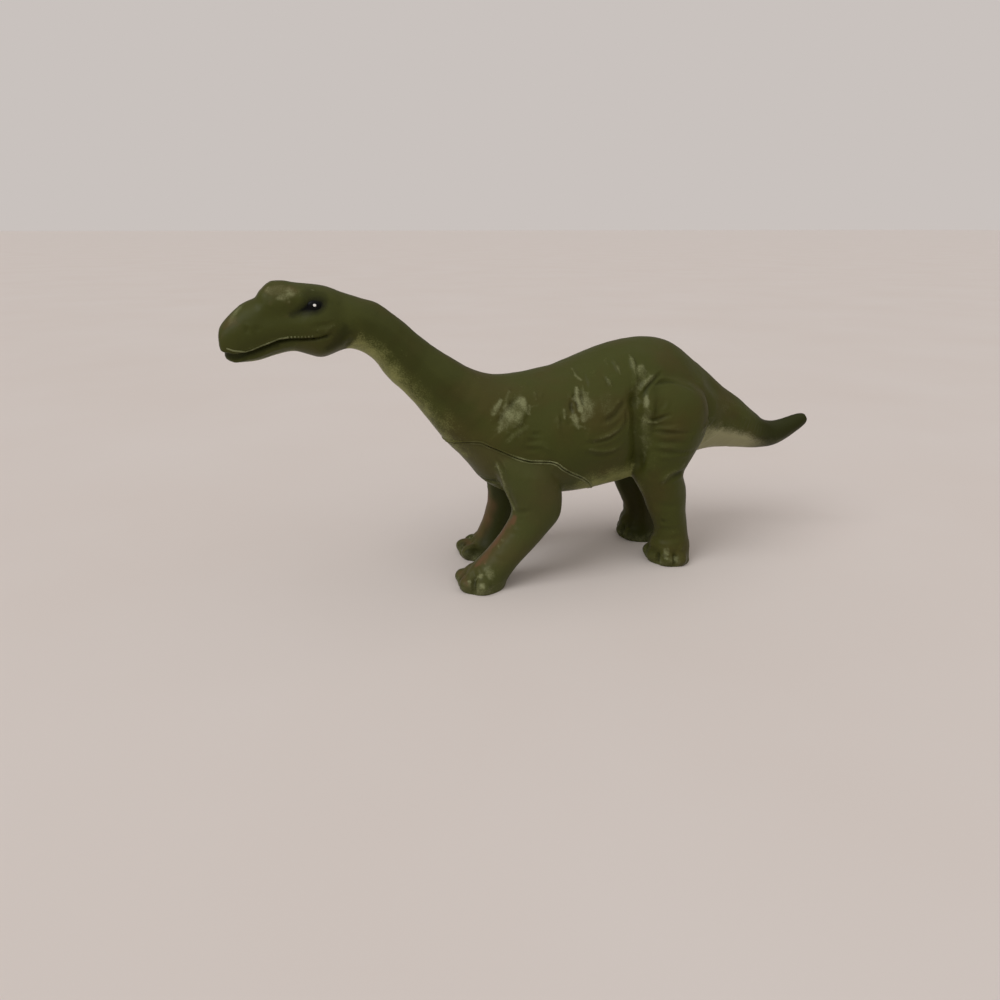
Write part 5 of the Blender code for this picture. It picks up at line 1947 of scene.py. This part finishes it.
@dataclass
class Eye:
    """An eyeball of black enamel with a white dot, over its CAD node.

    Attributes:
        length: Its length along the head.
        height: Its height.
        bulge: How far it stands out of the socket.
        dot: The diameter of the white dot.
        dot_ahead: How far the dot sits forwards of the middle of the eye.
        dot_up: How far it sits above the middle.
        dot_seat: How far out its middle is, as a share of the bulge.
        dot_height: Its height, as a share of its length.
        facing: The x and z of the way that the eye faces, to 1 sideways.
    """

    side: Side
    length: float = 3.1 * MM
    height: float = 2.5 * MM
    bulge: float = 0.6 * MM
    dot: float = 0.74 * MM
    dot_ahead: float = -0.22 * MM
    dot_up: float = 0.1 * MM
    dot_seat: float = 0.93
    dot_height: float = 0.85
    dot_thickness: float = 0.16 * MM
    facing: Span = (-0.16, 0.10)

    def name(self) -> str:
        """The name of the CAD node."""
        return f"{self.side.name.lower()}_eye"

    def frame(self) -> tuple[Vector, Matrix]:
        """The middle of the eye on the skin, and its axes: forwards, up and outwards."""
        low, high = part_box(self.name())
        middle = (Vector(low) + Vector(high)) / 2
        outwards = Vector((self.facing[0], self.side.value, self.facing[1])).normalized()
        up = (Vector((0.0, 0.0, 1.0)) - outwards * outwards.z).normalized()
        ahead = up.cross(outwards) * self.side.value
        return middle, Matrix((ahead, up, outwards)).transposed()

    def cap(
        self, name: str, middle: Vector, axes: Matrix, size: Sequence[float], finish: bpy.types.Material
    ) -> bpy.types.Object:
        """A closed smooth ellipsoid of paint, with its axes as columns and its size along each of them."""
        shape = bmesh.new()
        matrix = Matrix.Translation(middle) @ axes.to_4x4() @ Matrix.Diagonal((*size, 1.0))
        bmesh.ops.create_uvsphere(shape, u_segments=48, v_segments=32, radius=0.5, matrix=matrix)
        bmesh.ops.recalc_face_normals(shape, faces=shape.faces[:])
        mesh = mesh_of(name, shape)
        mesh.materials.append(finish)
        mesh.shade_smooth()
        return place_object(name, mesh)

    def build(self, base: Sculpted, black: bpy.types.Material, white: bpy.types.Material) -> None:
        """Makes the eyeball and its dot on the skin."""
        middle, axes = self.frame()
        ahead, up, outwards = (Vector(axes.col[i]) for i in range(3))
        number = base.tree.find(middle)[1]
        surface = Vector(base.places[number])
        seat = middle + outwards * (surface - middle).dot(outwards)
        ball = self.cap(f"{self.name()}_ball", seat, axes, (self.length, self.height, 2 * self.bulge), black)
        spot = seat + ahead * self.dot_ahead + up * self.dot_up + outwards * self.bulge * self.dot_seat
        size = (self.dot, self.dot * self.dot_height, self.dot_thickness)
        dot = self.cap(f"{self.name()}_dot", spot, axes, size, white)
        for obj in (ball, dot):
            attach(obj, BODY)
        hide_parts(self.name())
        LOG.info("%s: middle %s", self.name(), tuple(round(c / MM, 2) for c in seat))


@dataclass
class Studio:
    """The pale shelf, the soft lights and the world.

    Attributes:
        background: What the camera sees beyond the shelf.
        surround: The colour of the room's light.
        surround_strength: How strong that light is.
        lamps: For each lamp its name, where it stands, how wide it looks in degrees, watts and colour.
    """

    floor: float = 40.0
    background: str = "#C9C2BE"
    surround: str = "#FFF2EA"
    surround_strength: float = 0.3
    lamps: tuple[tuple[str, tuple[float, float, float], float, float, str], ...] = (
        ("window", (-0.66, -0.26, 0.66), 36.0, 1.25, "#FBFCFF"),
        ("ceiling", (0.05, -0.42, 1.0), 110.0, 1.15, "#FFFFFF"),
    )

    def build(self) -> None:
        """Adds the floor, the lamps and the world."""
        shape = bmesh.new()
        bmesh.ops.create_grid(shape, x_segments=1, y_segments=1, size=self.floor / 2)
        mesh = mesh_of("shelf", shape)
        mesh.materials.append(ShelfPaint().build())
        place_object("shelf", mesh)
        for name, place, width, watts, colour in self.lamps:
            data = bpy.data.lights.new(name, "SUN")
            data.angle = math.radians(width)
            data.energy = watts
            data.color = linear(colour)[:3]
            lamp = place_object(name, data)
            lamp.location = place
            lamp.rotation_euler = (-Vector(place)).to_track_quat("-Z", "Y").to_euler()
        world = bpy.data.worlds.new("room")
        bpy.context.scene.world = world
        world.use_nodes = True
        tree = world.node_tree
        tree.nodes.clear()
        seen = add_node(tree, "ShaderNodeLightPath")
        light = {"Color": linear(self.surround), "Strength": self.surround_strength}
        lit = add_node(tree, "ShaderNodeBackground", {}, light)
        shown = add_node(tree, "ShaderNodeBackground", {}, {"Color": linear(self.background), "Strength": 1.0})
        mixed = {0: seen.outputs["Is Camera Ray"], 1: lit.outputs[0], 2: shown.outputs[0]}
        either = add_node(tree, "ShaderNodeMixShader", {}, mixed)
        add_node(tree, "ShaderNodeOutputWorld", {}, {"Surface": either.outputs[0]})


def main() -> None:
    """Builds the figure's pieces in order, and the scene around them."""
    logging.basicConfig(level=logging.INFO, format="%(name)s: %(message)s")
    view = Lens()
    skin = Skin(view)
    base = skin.build()
    seam = Seam(skin.trunk)
    paint = PaintWork(skin)
    paint.prepare(base)
    body_vinyl = Vinyl("body_soft_pvc_satin_paint").build()
    leg_vinyl = Vinyl("foreleg_soft_pvc_satin_paint", green="#434622", brown="#494625").build()
    body = Casting("body_casting", "body_vinyl", "body_skin", 0.0, below=False)
    legs = Casting("foreleg_casting", "foreleg_vinyl", "foreleg_skin", seam.glue_gap, below=True)
    for casting, finish in ((body, body_vinyl), (legs, leg_vinyl)):
        casting.dress(casting.build(base, seam), paint, base, finish)
    for name, (drop, radius), slot, finish in (
        ("body_flash", seam.body_flash, "body_vinyl", body_vinyl),
        ("foreleg_flash", seam.foreleg_flash, "foreleg_vinyl", leg_vinyl),
    ):
        line, _ = seam.loop(base, drop)
        bead = Flash(name, radius).build(line, finish)
        # The flash beads are lightened all over: paint thinned by wear, with a painted highlight along them.
        paint.apply(bead.data, base, bare_and_lit=True)
        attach(bead, BODY)
        LOG.info("%s: %d faces", name, len(bead.data.polygons))
    for side in Side:
        across = (1.0, -side.value, 1.0)
        row = LipBeads(f"{side.name.lower()}_lip_beads").build(paint.knobs * across, body_vinyl)
        edge = Flash(f"{side.name.lower()}_lip_rim", paint.lip_radius, unevenness=paint.lip_unevenness)
        # The lip's knobs and rim are lightened the same way: wear, with a painted highlight.
        for piece in (row, edge.build(paint.rim * across, body_vinyl, closed=False)):
            paint.apply(piece.data, base, bare_and_lit=True)
            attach(piece, BODY)
    black = Enamel("eye_black_satin_enamel", "#040404", "#080807", roughness=0.4, gloss=0.1).build()
    white = Enamel("eye_white_gloss_enamel", "#F4F3EE", "#E6E4DC", roughness=0.3).build()
    for side in Side:
        Eye(side).build(base, black, white)
    view.build()
    Studio().build()
    bpy.context.scene.view_settings.view_transform = "Standard"
    bpy.context.view_layer.update()


if __name__ == "__main__":
    main()
